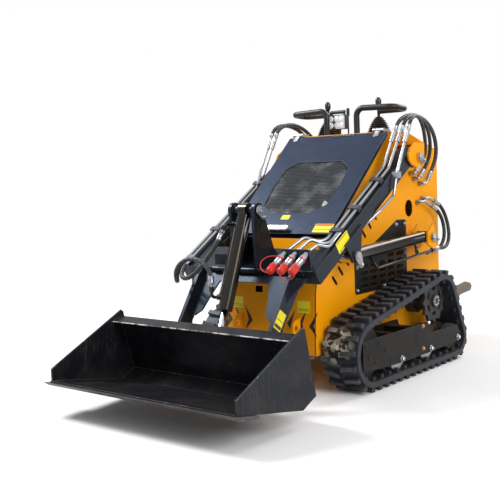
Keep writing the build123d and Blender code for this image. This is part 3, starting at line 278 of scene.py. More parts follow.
def times(tree, first, second, clamp=False):
    """Product of two values."""
    return reckon(tree, "MULTIPLY", first, second, clamp=clamp)


def ramp(tree, value, start, end, low=0.0, high=1.0):
    """The value's stretch from start to end, spread from low to high and held there."""
    return add(tree, "MapRange", None, Value=value, _1=start, _2=end, _3=low, _4=high).outputs[0]


def noise(tree, place, scale, detail, rough=0.5):
    """Noise from 0 to 1 over a place."""
    return add(tree, "TexNoise", None, Vector=place, Scale=scale, Detail=detail,
               Roughness=rough).outputs["Fac"]


def blend_colours(tree, share, first, second):
    """The first colour at share 0, the second at share 1."""
    return add(tree, "Mix", {"data_type": "RGBA"}, _0=share, _6=first, _7=second).outputs[2]


def here(tree):
    """Object coordinates, which lie still on every piece."""
    return add(tree, "TexCoord").outputs["Object"]


def bump(tree, height, strength):
    """Feeds the shader's normal from a height over 2 mm."""
    raised = add(tree, "Bump", None, Strength=strength, Distance=0.002, Height=height)
    tree.links.new(raised.outputs[0], tree.nodes["Principled BSDF"].inputs["Normal"])


def new_group(name, inputs, outputs):
    """Empty shader group with named sockets; returns what it is given and what it puts out."""
    tree = bpy.data.node_groups.new(name, "ShaderNodeTree")
    for way, rows in (("INPUT", inputs), ("OUTPUT", outputs)):
        for label, kind, *value in rows:
            socket = tree.interface.new_socket(label, in_out=way, socket_type="NodeSocket" + kind)
            if value:
                socket.default_value = value[0]
    return tree, tree.nodes.new("NodeGroupInput").outputs, tree.nodes.new("NodeGroupOutput").inputs


def use_group(tree, name, **inputs):
    """One of the groups placed in a material with its own values."""
    node = tree.nodes.new("ShaderNodeGroup")
    node.node_tree = bpy.data.node_groups[name]
    for key, value in inputs.items():
        feed(tree, node.inputs[key], value)
    return node.outputs


def make_dust_group():
    """Dust: blotches of noise, and splashes that thin out from the ground up to Reach."""
    tree, given, out = new_group("site dust", [
        ("Vector", "Vector"), ("Paint", "Color"), ("Dust", "Color"), ("Amount", "Float", 0.3),
        ("Scale", "Float", 6.0), ("Reach", "Float", 0.3)], [("Color", "Color"), ("Mask", "Float")])
    blot = noise(tree, given["Vector"], given["Scale"], 8.0, 0.62)
    fine = noise(tree, given["Vector"], 60.0, 4.0, 0.7)
    height = add(tree, "SeparateXYZ", None, Vector=given["Vector"]).outputs["Z"]
    splash = times(tree, ramp(tree, height, given["Reach"], 0.0), fine)
    total = reckon(tree, "ADD", ramp(tree, blot, 0.46, 0.74), splash)
    broken = reckon(tree, "MULTIPLY_ADD", fine, 0.5, 0.62, clamp=True)
    mask = times(tree, times(tree, total, given["Amount"]), broken, clamp=True)
    feed(tree, out["Color"], blend_colours(tree, mask, given["Paint"], given["Dust"]))
    feed(tree, out["Mask"], mask)


def make_grain_group():
    """Fine height: orange peel of paint, or the tooth of cast metal and rubber, over slow waves."""
    tree, given, out = new_group("fine grain", [
        ("Vector", "Vector"), ("Scale", "Float", 900.0), ("Wave", "Float", 30.0)], [("Height", "Float")])
    peel = noise(tree, given["Vector"], given["Scale"], 3.0)
    wave = noise(tree, given["Vector"], given["Wave"], 1.0)
    feed(tree, out["Height"], reckon(tree, "MULTIPLY_ADD", wave, 0.8, peel))


def make_scratch_group():
    """Bare streaks: noise drawn out along one axis, kept where a second noise is high."""
    tree, given, out = new_group("scratches", [
        ("Vector", "Vector"), ("Long", "Vector", (4.0, 90.0, 90.0)), ("Share", "Float", 0.5)],
        [("Mask", "Float")])
    pulled = add(tree, "VectorMath", {"operation": "MULTIPLY"}, _0=given["Vector"], _1=given["Long"])
    lines = ramp(tree, noise(tree, pulled.outputs[0], 6.0, 6.0, 0.7), 0.54, 0.62)
    places = ramp(tree, noise(tree, given["Vector"], 7.0, 3.0), 0.42, 0.62)
    feed(tree, out["Mask"], times(tree, times(tree, lines, places), given["Share"], clamp=True))


# ---------- finishes
SITE_DUST = (0.28, 0.24, 0.19)
WHITE_LIGHT = (1.0, 1.0, 1.0)


def coated(name, colour, dust=SITE_DUST, amount=0.25, reach=0.25, rough=0.3, metal=0.0, coat=0.0,
           grain=(900.0, 30.0, 0.03), scale=6.0, scratch=None, bare=None, specular=0.3,
           painted_reflection_tint=WHITE_LIGHT):
    """Finish of a colour under dust.

    amount, reach and scale are the dust's strength, height in metres and fineness. grain is the fine
    grain's scale, its waves' scale and its depth. scratch is the stretch of streaks along x, y and z
    and how much of them shows, in the colour bare. The tint colours the reflections: a painted
    reflection colour that stands in for the sky or surroundings they would show."""
    material = bpy.data.materials.new(name)
    material.use_nodes = True
    tree = material.node_tree
    shader = tree.nodes["Principled BSDF"].inputs
    place = here(tree)
    dusty = use_group(tree, "site dust", Vector=place, Paint=(*colour, 1), Dust=(*dust, 1),
                      Amount=amount, Scale=scale, Reach=reach)
    shade, shine = dusty["Color"], metal
    if scratch:
        marks = use_group(tree, "scratches", Vector=place, Long=scratch[:3], Share=scratch[3])["Mask"]
        shade = blend_colours(tree, marks, shade, (*bare, 1))
        shine = ramp(tree, marks, 0.0, 1.0, metal, 0.85)
    feed(tree, shader["Base Color"], shade)
    feed(tree, shader["Metallic"], shine)
    feed(tree, shader["Roughness"], ramp(tree, dusty["Mask"], 0.0, 1.0, rough, min(1.0, rough + 0.45)))
    shader["Specular IOR Level"].default_value = specular
    # the tint is a painted reflection colour, in place of what the reflections would mirror
    shader["Specular Tint"].default_value = (*painted_reflection_tint, 1)
    if coat:
        shader["Coat Weight"].default_value = coat
        shader["Coat Roughness"].default_value = 0.08
    height = use_group(tree, "fine grain", Vector=place, Scale=grain[0], Wave=grain[1])["Height"]
    bump(tree, height, grain[2])
    return material


def hose_finish(name, colour, ribs, depth):
    """Rubber with a spiral drawn on the tube's own uv: sin(2 pi (ribs v + u))."""
    material = coated(name, colour, dust=(0.12, 0.115, 0.10), amount=0.3, reach=0.1, rough=0.42)
    tree = material.node_tree
    uv = add(tree, "SeparateXYZ", None, Vector=add(tree, "TexCoord").outputs["UV"]).outputs
    twist = reckon(tree, "MULTIPLY_ADD", uv["Y"], ribs, uv["X"])
    bump(tree, reckon(tree, "SINE", times(tree, twist, 2 * math.pi)), depth)
    return material


MUD_AT = (0.262, 0.335, 0.215)      # middle of the mud dried on the left track's nose, in metres


def tread_finish(name):
    """Rubber that the ground has greyed: worn where the mesh's own measure says it stands proud,
    with mud caked within a hand's breadth of MUD_AT."""
    # the blue tint paints a sky sheen on the rubber
    material = coated(name, (0.016, 0.018, 0.024), dust=(0.11, 0.095, 0.08), amount=0.30, reach=0.16,
                      rough=0.46, grain=(420.0, 60.0, 0.20), scale=14.0, painted_reflection_tint=(0.65, 0.8, 1.0))
    tree = material.node_tree
    shade = tree.nodes["Principled BSDF"].inputs["Base Color"]
    place = here(tree)
    proud = add(tree, "Attribute", {"attribute_name": "proud"}).outputs["Fac"]
    rubbed = ramp(tree, noise(tree, place, 38.0, 6.0, 0.65), 0.42, 0.64, 0.04, 0.62)
    worn = blend_colours(tree, times(tree, ramp(tree, proud, 0.5, 1.0), rubbed),
                         shade.links[0].from_socket, (0.115, 0.106, 0.096, 1))
    far = add(tree, "VectorMath", {"operation": "DISTANCE"}, _0=place, _1=MUD_AT).outputs["Value"]
    clots = ramp(tree, noise(tree, place, 26.0, 7.0, 0.6), 0.49, 0.53)
    caked = times(tree, ramp(tree, far, 0.098, 0.05), clots)
    feed(tree, shade, blend_colours(tree, caked, worn, (0.46, 0.40, 0.31, 1)))
    return material


def lens_with_painted_glow(name, colour, strength):
    """Clear moulded lens over its cell, with a faint painted glow that stands in for light caught in the
    cell.
    """
    material = coated(name, colour, amount=0.05, rough=0.12, coat=0.4, grain=(300.0, 120.0, 0.1))
    shader = material.node_tree.nodes["Principled BSDF"].inputs
    # faint emission: a painted glow of light caught in the cell
    shader["Emission Color"].default_value = (*colour, 1)
    shader["Emission Strength"].default_value = strength
    return material


FINISH = {}


def finishes(*names):
    """Finishes by their plain names."""
    return [FINISH[name] for name in names]


def make_finishes(yellow, black):
    """All the finishes that the loader's pieces wear, made in this order."""
    make_dust_group()
    make_grain_group()
    make_scratch_group()

    edge_yellow = tuple(np.multiply(yellow, 0.86))
    # the hood's black is pushed towards blue: a painted sky reflection on its slope, not the paint's own
    # colour
    hood, bucket = (tuple(np.multiply(black, shares)) for shares in ((0.62, 1.1, 2.3), 0.85))
    paints = {
        "hull yellow": dict(colour=yellow, dust=(0.40, 0.25, 0.10), amount=0.14, reach=0.32, rough=0.36,
                            grain=(700.0, 9.0, 0.05), specular=0.1),
        # inside: near-black for the inner faces of the hull's side panels, painted shade inside the hull
        "inside": dict(colour=(0.035, 0.033, 0.03), dust=(0.10, 0.09, 0.08), amount=0.6, rough=0.6,
                       specular=0.1),
        "yellow edge": dict(colour=edge_yellow, dust=(0.35, 0.24, 0.12), amount=0.3, rough=0.42,
                            specular=0.2),
        # arm black: the blue tint paints a sky reflection on the arms and frame
        "arm black": dict(colour=black, dust=(0.10, 0.09, 0.08), amount=0.10, reach=0.12, rough=0.24,
                          grain=(600.0, 7.0, 0.05), specular=0.27, painted_reflection_tint=(0.45, 0.66, 1.0)),
        "black edge": dict(colour=(0.045, 0.047, 0.052), dust=(0.12, 0.11, 0.10), amount=0.3, rough=0.38,
                           specular=0.35),
        # hood: its bluer black and its blue reflection tint are both a painted sky reflection
        "hood black with painted sky": dict(colour=hood, dust=(0.08, 0.09, 0.11), amount=0.12,
                           reach=0.1, rough=0.27, grain=(600.0, 9.0, 0.05), specular=0.36,
                           painted_reflection_tint=(0.42, 0.64, 1.0)),
        # bucket black: the faint blue tint paints a sky reflection
        "bucket black": dict(colour=bucket, dust=(0.11, 0.09, 0.07), amount=0.22, reach=0.16,
                             rough=0.17, grain=(600.0, 7.0, 0.10), scratch=(30.0, 30.0, 3.0, 0.3),
                             bare=(0.13, 0.12, 0.11), specular=0.15, painted_reflection_tint=(0.85, 0.9, 1.0)),
        "chips": dict(colour=(0.05, 0.055, 0.07), dust=(0.75, 0.74, 0.71), amount=2.4, reach=0.0,
                      rough=0.4, scale=24.0),
        "frame black": dict(colour=(0.0085, 0.008, 0.0078), dust=(0.085, 0.072, 0.058), amount=0.2,
                            reach=0.24, rough=0.4, grain=(400.0, 20.0, 0.10), scale=9.0, specular=0.1,
                            scratch=(8.0, 60.0, 30.0, 0.2), bare=(0.09, 0.08, 0.07)),
        # gloss black: the warm tint paints brownish highlights on the barrels
        "gloss black": dict(colour=(0.006, 0.006, 0.007), dust=(0.07, 0.06, 0.05), amount=0.10,
                            rough=0.15, coat=0.1, grain=(300.0, 12.0, 0.02), painted_reflection_tint=(1.0, 0.88, 0.74)),
    }
    metals = {
        "worn edge": dict(colour=(0.10, 0.10, 0.105), dust=(0.12, 0.11, 0.10), amount=0.3, rough=0.4,
                          specular=0.35, scratch=(9.0, 9.0, 9.0, 1.0), bare=(0.62, 0.61, 0.60)),
        "wire": dict(colour=(0.13, 0.135, 0.15), dust=(0.62, 0.64, 0.68), amount=0.75, reach=0.0,
                     rough=0.34, metal=0.3, grain=(2000.0, 200.0, 0.05), scale=13.0),
        "zinc": dict(colour=(0.36, 0.37, 0.39), dust=(0.16, 0.15, 0.14), amount=0.2, reach=0.1, metal=1.0,
                     grain=(500.0, 80.0, 0.06), scale=30.0),
        "copper": dict(colour=(0.47, 0.24, 0.13), amount=0.3, rough=0.38, metal=1.0, scale=30.0),
        "edge steel": dict(colour=(0.045, 0.045, 0.047), dust=(0.16, 0.12, 0.09), amount=0.4, reach=0.2,
                           rough=0.4, metal=0.4, scratch=(40.0, 3.0, 40.0, 0.7), bare=(0.34, 0.33, 0.32)),
        "chrome": dict(colour=(0.58, 0.59, 0.61), amount=0.06, reach=0.05, rough=0.11, metal=1.0,
                       grain=(300.0, 20.0, 0.01)),
        "iron": dict(colour=(0.05, 0.05, 0.053), amount=0.4, rough=0.5, metal=0.4,
                     grain=(300.0, 60.0, 0.25)),
        "sprocket": dict(colour=(0.022, 0.022, 0.023), dust=(0.11, 0.095, 0.078), amount=0.5, reach=0.5,
                         rough=0.45, metal=0.2, grain=(300.0, 60.0, 0.25), scale=12.0),
        "rim steel": dict(colour=(0.5, 0.49, 0.47), dust=(0.14, 0.12, 0.10), amount=0.4, reach=0.2,
                          rough=0.34, metal=0.95, scale=20.0),
        "reflector": dict(colour=(0.62, 0.64, 0.66), amount=0.05, rough=0.16, metal=0.9),
    }
    rubbers = {
        "step brown": dict(colour=(0.13, 0.105, 0.085), amount=0.5, reach=0.5, rough=0.6,
                           grain=(400.0, 40.0, 0.25), scale=12.0),
        "handle": dict(colour=(0.012, 0.011, 0.011), dust=(0.10, 0.09, 0.08), amount=0.12, rough=0.34,
                       grain=(900.0, 60.0, 0.08)),
        "boot": dict(colour=(0.012, 0.0115, 0.0125), dust=(0.09, 0.08, 0.07), amount=0.2, rough=0.5,
                     grain=(500.0, 60.0, 0.15)),
        "lamp body": dict(colour=(0.03, 0.031, 0.034), amount=0.1, rough=0.36, grain=(700.0, 60.0, 0.1)),
        "knob": dict(colour=(0.014, 0.014, 0.015), amount=0.1, rough=0.22, coat=0.2),
        "red cap": dict(colour=(0.55, 0.018, 0.012), amount=0.12, rough=0.33, grain=(900.0, 40.0, 0.05)),
    }
    labels = {
        "label yellow": dict(colour=(0.80, 0.66, 0.015), amount=0.08, rough=0.35),
        "label red": dict(colour=(0.55, 0.03, 0.02), amount=0.12, rough=0.35, coat=0.2),
        "label black": dict(colour=(0.02, 0.02, 0.02), amount=0.12, rough=0.35, coat=0.2),
    }
    for name, look in {**paints, **metals, **rubbers, **labels}.items():
        FINISH[name] = coated(name, **look)
    FINISH["tread"] = tread_finish("tread")
    # the lamp's lenses carry a faint painted glow
    FINISH["lamp cell"] = lens_with_painted_glow("lamp cell", (0.78, 0.82, 0.86), 0.08)
    FINISH["hose"] = hose_finish("hose", (0.014, 0.0145, 0.016), 0.33, 0.25)
    FINISH["hose guard"] = hose_finish("hose guard", (0.030, 0.031, 0.034), 0.12, 0.3)


# ---------- hoses
# control points of each hose's centre line, in the row frame, in metres; the right side's lift hoses
# mirror the left side's
HOSE_ROUTES = {
    "boom_hose_left_1": [
        (-0.2633, 0.322, 1.134), (-0.2907, 0.322, 1.1758), (-0.3513, 0.323, 1.206),
        (-0.4273, 0.324, 1.218), (-0.5133, 0.325, 1.208), (-0.5913, 0.325, 1.176),
        (-0.6493, 0.322, 1.126), (-0.6813, 0.317, 1.064), (-0.6873, 0.309, 1.004),
        (-0.6702, 0.2947, 0.9513), (-0.6453, 0.291, 0.914)],
    "boom_hose_left_2": [
        (-0.2703, 0.352, 1.134), (-0.299, 0.352, 1.1749), (-0.3553, 0.349, 1.206),
        (-0.4313, 0.346, 1.214), (-0.5093, 0.341, 1.192), (-0.5693, 0.334, 1.144),
        (-0.6053, 0.325, 1.082), (-0.6153, 0.315, 1.02), (-0.5939, 0.2953, 0.9546),
        (-0.5673, 0.29, 0.928)],
    "boom_hose_left_3": [
        (-0.2613, 0.392, 1.134), (-0.2853, 0.392, 1.1779), (-0.3353, 0.384, 1.205),
        (-0.4053, 0.37, 1.208), (-0.4693, 0.354, 1.178), (-0.5233, 0.338, 1.126), (-0.5573, 0.324, 1.066),
        (-0.5693, 0.312, 1.022), (-0.5575, 0.2953, 0.9802), (-0.5323, 0.29, 0.955)],
    "boom_hose_right_1": [
        (-0.2323, -0.362, 1.136), (-0.2574, -0.362, 1.1792), (-0.3153, -0.365, 1.206),
        (-0.3953, -0.366, 1.214), (-0.4753, -0.362, 1.196), (-0.5453, -0.352, 1.15),
        (-0.5873, -0.338, 1.088), (-0.6053, -0.322, 1.024), (-0.5939, -0.2953, 0.9546),
        (-0.5673, -0.29, 0.928)],
    "boom_hose_right_2": [
        (-0.2323, -0.392, 1.136), (-0.2568, -0.392, 1.1796), (-0.3133, -0.394, 1.206),
        (-0.3893, -0.394, 1.21), (-0.4613, -0.381, 1.188), (-0.5173, -0.363, 1.14),
        (-0.5533, -0.342, 1.082), (-0.5693, -0.322, 1.03), (-0.5575, -0.2953, 0.9802),
        (-0.5323, -0.29, 0.955)],
    "lift_hose_1": [
        (-0.7093, 0.291, 0.786), (-0.7466, 0.2942, 0.7719), (-0.7813, 0.305, 0.722),
        (-0.7913, 0.317, 0.664), (-0.7793, 0.329, 0.606), (-0.7413, 0.338, 0.564),
        (-0.6893, 0.342, 0.551), (-0.6412, 0.342, 0.5571), (-0.5973, 0.342, 0.554)],
    "lift_hose_2": [
        (-0.6813, 0.292, 0.762), (-0.7179, 0.295, 0.7462), (-0.7533, 0.303, 0.7), (-0.7613, 0.311, 0.646),
        (-0.7453, 0.318, 0.598), (-0.7053, 0.321, 0.561), (-0.6673, 0.3205, 0.546),
        (-0.6253, 0.32, 0.5416), (-0.5873, 0.32, 0.541)],
    "tilt_hose_1": [
        (0.4691, -0.335, 0.5799), (0.5031, -0.335, 0.5588), (0.5427, -0.318, 0.533),
        (0.5737, -0.284, 0.517), (0.5927, -0.243, 0.515), (0.5967, -0.202, 0.53), (0.5907, -0.162, 0.562),
        (0.5807, -0.126, 0.604), (0.5717, -0.096, 0.644), (0.5653, -0.069, 0.6835),
        (0.5527, -0.06, 0.716)],
    "tilt_hose_2": [
        (0.4691, -0.362, 0.5799), (0.5031, -0.362, 0.5588), (0.5387, -0.35, 0.53),
        (0.5687, -0.322, 0.508), (0.6007, -0.29, 0.502), (0.6287, -0.267, 0.518), (0.6427, -0.256, 0.552),
        (0.6367, -0.236, 0.586), (0.6307, -0.198, 0.606), (0.6297, -0.153, 0.61), (0.6307, -0.112, 0.6),
        (0.6317, -0.078, 0.576), (0.6325, -0.0576, 0.542), (0.6337, -0.057, 0.508)],
}
HOSE_WIDTH = 18.0
PLAIN_STEP, GUARD_STEP = 6.0, 2.8       # between rings of a bare hose, and under a coiled guard
GUARD_WALL, COIL_HEIGHT = 0.4, 1.1      # the guard over the hose, and its coils over that
GUARD_START = 4.0                       # over this length the guard rises to its full thickness
BOOM_GUARDS = {"boom_hose_left_1": 0.82, "boom_hose_left_2": 0.0, "boom_hose_left_3": 0.0,
               "boom_hose_right_1": 0.82, "boom_hose_right_2": 0.82}
# hose, route, which side it is on, the bodies at its two ends, and the share of it inside a coiled guard
HOSES = (
    [(name, name, 1, "boom", "chassis", guard) for name, guard in BOOM_GUARDS.items()]
    + [("lift_hose_%s_%d" % (hand, k), "lift_hose_%d" % k, side, "chassis", "lift_barrel_" + hand, 0.0)
       for hand, side in (("left", 1), ("right", -1)) for k in (1, 2)]
    + [("tilt_hose_%d" % k, "tilt_hose_%d" % k, 1, "boom", "tilt_barrel", 0.85) for k in (1, 2)])
# the lower lift hoses swing down close over the track's lugs, so their lower end is short
LAST_END_REACH = {"lift_hose_2": 0.5}

# crimped sleeve with its rings, and the nut below it: radius and height
SLEEVE = np.array([(9.5, 0), (11.8, 1), (12.2, 6), (11.2, 9), (12.2, 12),
                   (11.2, 15), (12.2, 18), (11.2, 21), (12.2, 24), (11.8, 31),
                   (9.8, 32.5)])
NUT = np.array([(8.2, -15), (12.2, -13.5), (12.2, -2), (10.5, -0.5), (8.2, 0)])


def smooth_line(points):
    """Points read from one NURBS spline of order 3 that has the given control points."""
    curve = bpy.data.curves.new("route", "CURVE")
    curve.dimensions = "3D"
    curve.resolution_u = 16
    spline = curve.splines.new("NURBS")
    spline.points.add(len(points) - 1)
    for control, point in zip(spline.points, points):
        control.co = (*point, 1.0)
    spline.order_u = 3
    spline.use_endpoint_u = True
    holder = bpy.data.objects.new("route", curve)
    mesh = bpy.data.meshes.new_from_object(holder)
    line = np.empty(len(mesh.vertices) * 3)
    mesh.vertices.foreach_get("co", line)
    bpy.data.objects.remove(holder)
    bpy.data.meshes.remove(mesh)
    return line.reshape(-1, 3)


def evenly(line, step):
    """The same line with points about a step apart, by length along it; returns points and lengths."""
    gone = np.concatenate([[0.0], np.cumsum(np.linalg.norm(np.diff(line, axis=0), axis=1))])
    stops = np.linspace(0, gone[-1], max(int(round(gone[-1] / step)), 8) + 1)
    return np.stack([np.interp(stops, gone, line[:, k]) for k in range(3)], -1), stops


def ferrule(end, inner, reach):
    """Crimped sleeve and hexagon nut on a hose's end, turned about the line from there to a point
    farther in; reach scales their length, and a tenth of it their width."""
    sleeve = SLEEVE * ((1 + 9 * reach) / 10, reach)
    return [turned(sleeve, end, inner - end, 20), turned(NUT * (1, reach), end, inner - end, 6)]


def make_hose(name, route, side, first, last, guard, coil):
    """Hose on its NURBS line, ribbed by a coiled guard: r = R + d max(0, sin(a + 2 pi s / coil))."""
    points = np.array(HOSE_ROUTES[route]) * (1, side, 1)
    path, lengths = evenly(smooth_line(points), (GUARD_STEP if guard else PLAIN_STEP) / 1000)
    around = 16
    radius = np.full((len(path), around), HOSE_WIDTH / 2)
    if guard:
        angle = np.arange(around) * 2 * np.pi / around
        ridge = np.maximum(0, np.sin(angle[None] + 2 * np.pi * lengths[:, None] / coil)) ** 0.7
        bare, rise = lengths[-1] * (1 - guard) / 2, GUARD_START / 1000
        covered = (np.clip((lengths - bare) / rise, 0, 1)
                   * np.clip((lengths[-1] - bare - lengths) / rise, 0, 1))
        radius += covered[:, None] * (GUARD_WALL + COIL_HEIGHT * ridge)
    rubber = piece(name + "_rubber", [bar(path, radius, around)],
                   finishes("hose guard" if guard else "hose"), None, (name,), 50.0)
    ends = [piece("%s_end_%d" % (name, number), ferrule(path[tip], path[inner], reach),
                  finishes("zinc"), body)
            for number, tip, inner, body, reach in (
                (1, 0, 3, first, 1.0), (2, -1, -4, last, LAST_END_REACH.get(route, 1.0)))]
    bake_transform(rubber)


class HoseSettings(bpy.types.PropertyGroup):
    """Rubber hoses."""
    coil: FloatProperty(name="Guard coil", description="Distance between the coils of a hose guard",
                        default=0.0125, min=0.004, unit="LENGTH")


class LOADER_OT_hoses(bpy.types.Operator):
    """Hydraulic hoses with their crimped ends and coiled guards"""
    bl_idname = "loader.hoses"
    bl_label = "Hoses"

    def execute(self, context):
        for row in HOSES:
            make_hose(*row, context.scene.loader_hoses.coil)
        return {"FINISHED"}


# ---------- finishes as an operator
class FinishSettings(bpy.types.PropertyGroup):
    """Paint colours."""
    yellow: FloatVectorProperty(name="Yellow paint", description="Hull colour", subtype="COLOR",
                                default=(0.80, 0.305, 0.001), min=0.0, max=1.0)
    black: FloatVectorProperty(name="Black paint", description="Arm, hood and bucket colour",
                               subtype="COLOR", default=(0.0095, 0.0110, 0.0150), min=0.0, max=1.0)


class LOADER_OT_finishes(bpy.types.Operator):
    """Paints, metals, rubber and label finishes"""
    bl_idname = "loader.finishes"
    bl_label = "Finishes"

    def execute(self, context):
        settings = context.scene.loader_finish
        make_finishes(tuple(settings.yellow), tuple(settings.black))
        return {"FINISHED"}


YELLOW, BLACK = ("hull yellow", "yellow edge"), ("arm black", "black edge")


def soften_each(looks, **widths):
    """CAD nodes in the same finishes, each by the width of its rounded edges in millimetres."""
    for node, width in widths.items():
        softened(node, finishes(*looks), width)


LABEL_CORNER, LABEL_THICK = 4.0, 0.5
BAND_WIDE, BAND_TALL = 0.92, 0.96           # shares of the label's width and of the band's own height
BAND_CORNER, BAND_RISE, BAND_THICK = 1.5, 0.4, 0.3


def label(name, centre, across, along, width, height, body, bands=()):
    """Blank yellow sticker; bands are (from, to, finish) over its height."""
    rise = np.cross(unit(across), unit(along))
    parts = [slab(rounded_outline(width, height, LABEL_CORNER), centre, across, along, LABEL_THICK)]
    for number, (low, high, _) in enumerate(bands):
        strip = rounded_outline(width * BAND_WIDE, (high - low) * height * BAND_TALL, BAND_CORNER)
        up_by = ((low + high) / 2 - 0.5) * height
        middle = centre + (unit(along) * up_by + rise * BAND_RISE) / 1000
        parts.append(slab(strip, middle, across, along, BAND_THICK, number + 1))
    piece(name, parts, finishes("label yellow", *[band[2] for band in bands]), body)


def drop_outline(big, small, reach, heading):
    """Teardrop: arcs of two circles, big at the pin and small at its bolt, a reach apart, joined by
    their tangents."""
    open_by = math.acos((big - small) / reach)
    wide = np.linspace(open_by, 2 * np.pi - open_by, 18)
    tight = np.linspace(-open_by, open_by, 10)
    points = np.concatenate([np.stack([np.cos(wide), np.sin(wide)], -1) * big,
                             np.stack([np.cos(tight), np.sin(tight)], -1) * small + (reach, 0.0)])
    c, s = math.cos(heading), math.sin(heading)
    return points @ np.array([[c, s], [-s, c]])


# a pin's x, y and z, its plate's big and small radius and reach, and its heading in degrees
HULL_PINS = [(-46, 405, 1014, 20, 14, 34, 215), (-177, 397, 625, 20, 14, 34, 200)]
BOOM_PINS = [(499, 397, 593, 24, 15, 40, 245), (765, 78, 808, 22, 13, 38, 235)]
PLATE_THICK, PLATE_BOLT = 5.0, 13.0
# radius and height of a centre-drilled pin's end
PIN_END = [(12.5, -1), (12.5, 7), (11.2, 8.5), (4.5, 8.5), (2, 6)]


def pin_plates(rows):
    """Keeper plates of both sides' pins, each with its bolt and the pin's end."""
    parts = []
    for x, y, z, big, small, reach, heading in rows:
        heading = math.radians(heading)
        bolt_x, bolt_z = x + reach * math.cos(heading), z + reach * math.sin(heading)
        for side in (1, -1):
            outline = drop_outline(big, small, reach, heading)[::side] * (-side, 1.0)
            parts.append(slab(outline, at((x, side * y, z)), (-side, 0, 0), UP, PLATE_THICK, 0, 0.03))
            parts += bolt(at((bolt_x, side * (y + PLATE_THICK), bolt_z)), (0, side, 0), PLATE_BOLT)
            parts.append(turned(PIN_END, at((x, side * y, z)), (0, side, 0), 24))
    return parts


# ---------- hood
HOOD_TOP, HOOD_FOOT = np.array((49.0, 1136.0)), np.array((549.0, 692.0))    # x, z of its slope's ends
DOWN = unit(HOOD_FOOT - HOOD_TOP)
HOOD_UP = (-DOWN[0], 0.0, -DOWN[1])
# the window's half width at places down the slope
WINDOW_S = [192.0, 238.0, 360.0, 485.0, 538.0]
WINDOW_HALF = [125.0, 180.0, 191.0, 179.0, 108.0]
WEAVE_HALF, WEAVE_SUNK = 190.0, 7.0         # half the screen's width, and its depth under the slope
WIRE_TUCK = 5.0                             # how far a wire goes in under the window's edge

# name, s and y of its middle, width, height, and its bands: from, to, finish
HOOD_LABELS = [("wide", 633, 234, 98, 52, ((0.76, 0.96, "label red"), (0.3, 0.34, "label black"))),
               ("small", 567, -7, 46, 28, ())]
LIES_OVER = 0.1                             # what is stuck on a face stands off by this
VENT_S, VENT_Y, VENT_TABS_Y = 7, 50, range(-8, 110, 18)


class ScreenSettings(bpy.types.PropertyGroup):
    """The hood's woven screen."""
    pitch: FloatProperty(name="Screen pitch", description="Distance between neighbouring wires",
                         default=0.0095, min=0.005, max=0.04, unit="LENGTH")
    wire: FloatProperty(name="Wire", description="Wire diameter", default=0.0025, min=0.0005, max=0.004,
                        unit="LENGTH")


def on_hood(s, y, rise=0.0):
    """Point on the hood s millimetres down its slope: top + s down + rise square to it."""
    x = HOOD_TOP[0] + DOWN[0] * s - DOWN[1] * rise
    z = HOOD_TOP[1] + DOWN[1] * s + DOWN[0] * rise
    return at(np.stack(np.broadcast_arrays(x, y, z), -1))


def weave_wires(pitch, thick):
    """Woven screen: wires down and across the hood; height = thick/2 cos(pi n) after n crossings."""
    parts = []
    for across in (False, True):
        low, high = (WINDOW_S[0], WINDOW_S[-1]) if across else (-WEAVE_HALF, WEAVE_HALF)
        first = (-WEAVE_HALF if across else WINDOW_S[0]) + pitch / 2
        for k, place in enumerate(np.arange(low + pitch / 2, high, pitch)):
            if across:
                stop = np.interp(place, WINDOW_S, WINDOW_HALF)
                start = -stop
            else:
                start = np.interp(abs(place), WINDOW_HALF[:3], WINDOW_S[:3])
                stop = np.interp(abs(place), WINDOW_HALF[:1:-1], WINDOW_S[:1:-1])
            walk = np.arange(start - WIRE_TUCK, stop + WIRE_TUCK + pitch / 4, pitch / 2)
            wave = thick / 2 * np.cos(np.pi * ((walk - first) / pitch + k + across))
            s, y = (place, walk) if across else (walk, place)
            parts.append(bar(on_hood(s, y, wave - WEAVE_SUNK), thick / 2, 4))
    return parts


def hood_vent():
    """Vent strip at the hood's top with its row of bright tabs."""
    thick = 1.2
    strip = slab(rounded_outline(135, 14, 2.0), on_hood(VENT_S, VENT_Y, LIES_OVER), ACROSS, HOOD_UP,
                 thick)
    tab = rounded_outline(9, 5, 1.5)
    return [strip] + [slab(tab, on_hood(VENT_S, y, LIES_OVER + thick), ACROSS, HOOD_UP, 0.6, 1)
                      for y in VENT_TABS_Y]


# ---------- hull
HULL_Y, INSIDE_BY = 253.0, 1.5      # its side panels' outer faces, and how far in their inside begins
GRILLE_SHEET = 4.0                  # the side grilles lie on the panels
HULL_BOLTS = [(296, 412), (296, 520), (150, 600), (-60, 692), (-143, 690), (-143, 550), (-143, 412),
              (60, 410)]            # x, z
NOSE_X, NOSE_Z, NOSE_LEAN = 629.2, 254.0, 0.063     # its front panel's foot, and how it leans back
NOSE_UP = (-NOSE_LEAN, 0.0, 1.0)
NOSE_LABEL_Y, NOSE_LABEL_Z = 188, 379
CHEVRONS = [(217, 296), (157, 299), (97, 300)]      # y, z of their tips
CHEVRON = np.array([(0.0, 0.0), (-46.0, 66.0), (-25.0, 4.0), (-44.0, -46.0)])


def on_nose(y, z):
    """Point on the leaning front panel: x = foot's x - lean (z - foot's z)."""
    return at((NOSE_X - NOSE_LEAN * (z - NOSE_Z), y, z))


def chevron(y, z, way):
    """Painted arrow on the nose: a swept mark with its tip at (y, z), pointing way along y."""
    return slab((CHEVRON * (way, 1.0))[::-way], on_nose(y, z), ACROSS, NOSE_UP, 0.4)


def hull_bolts():
    """Round the grilles: hexagon heads on washers."""
    return [part for side in (-1, 1) for x, z in HULL_BOLTS
            for part in bolt(at((x, side * (HULL_Y + GRILLE_SHEET), z)), (0, side, 0), 12.0)]


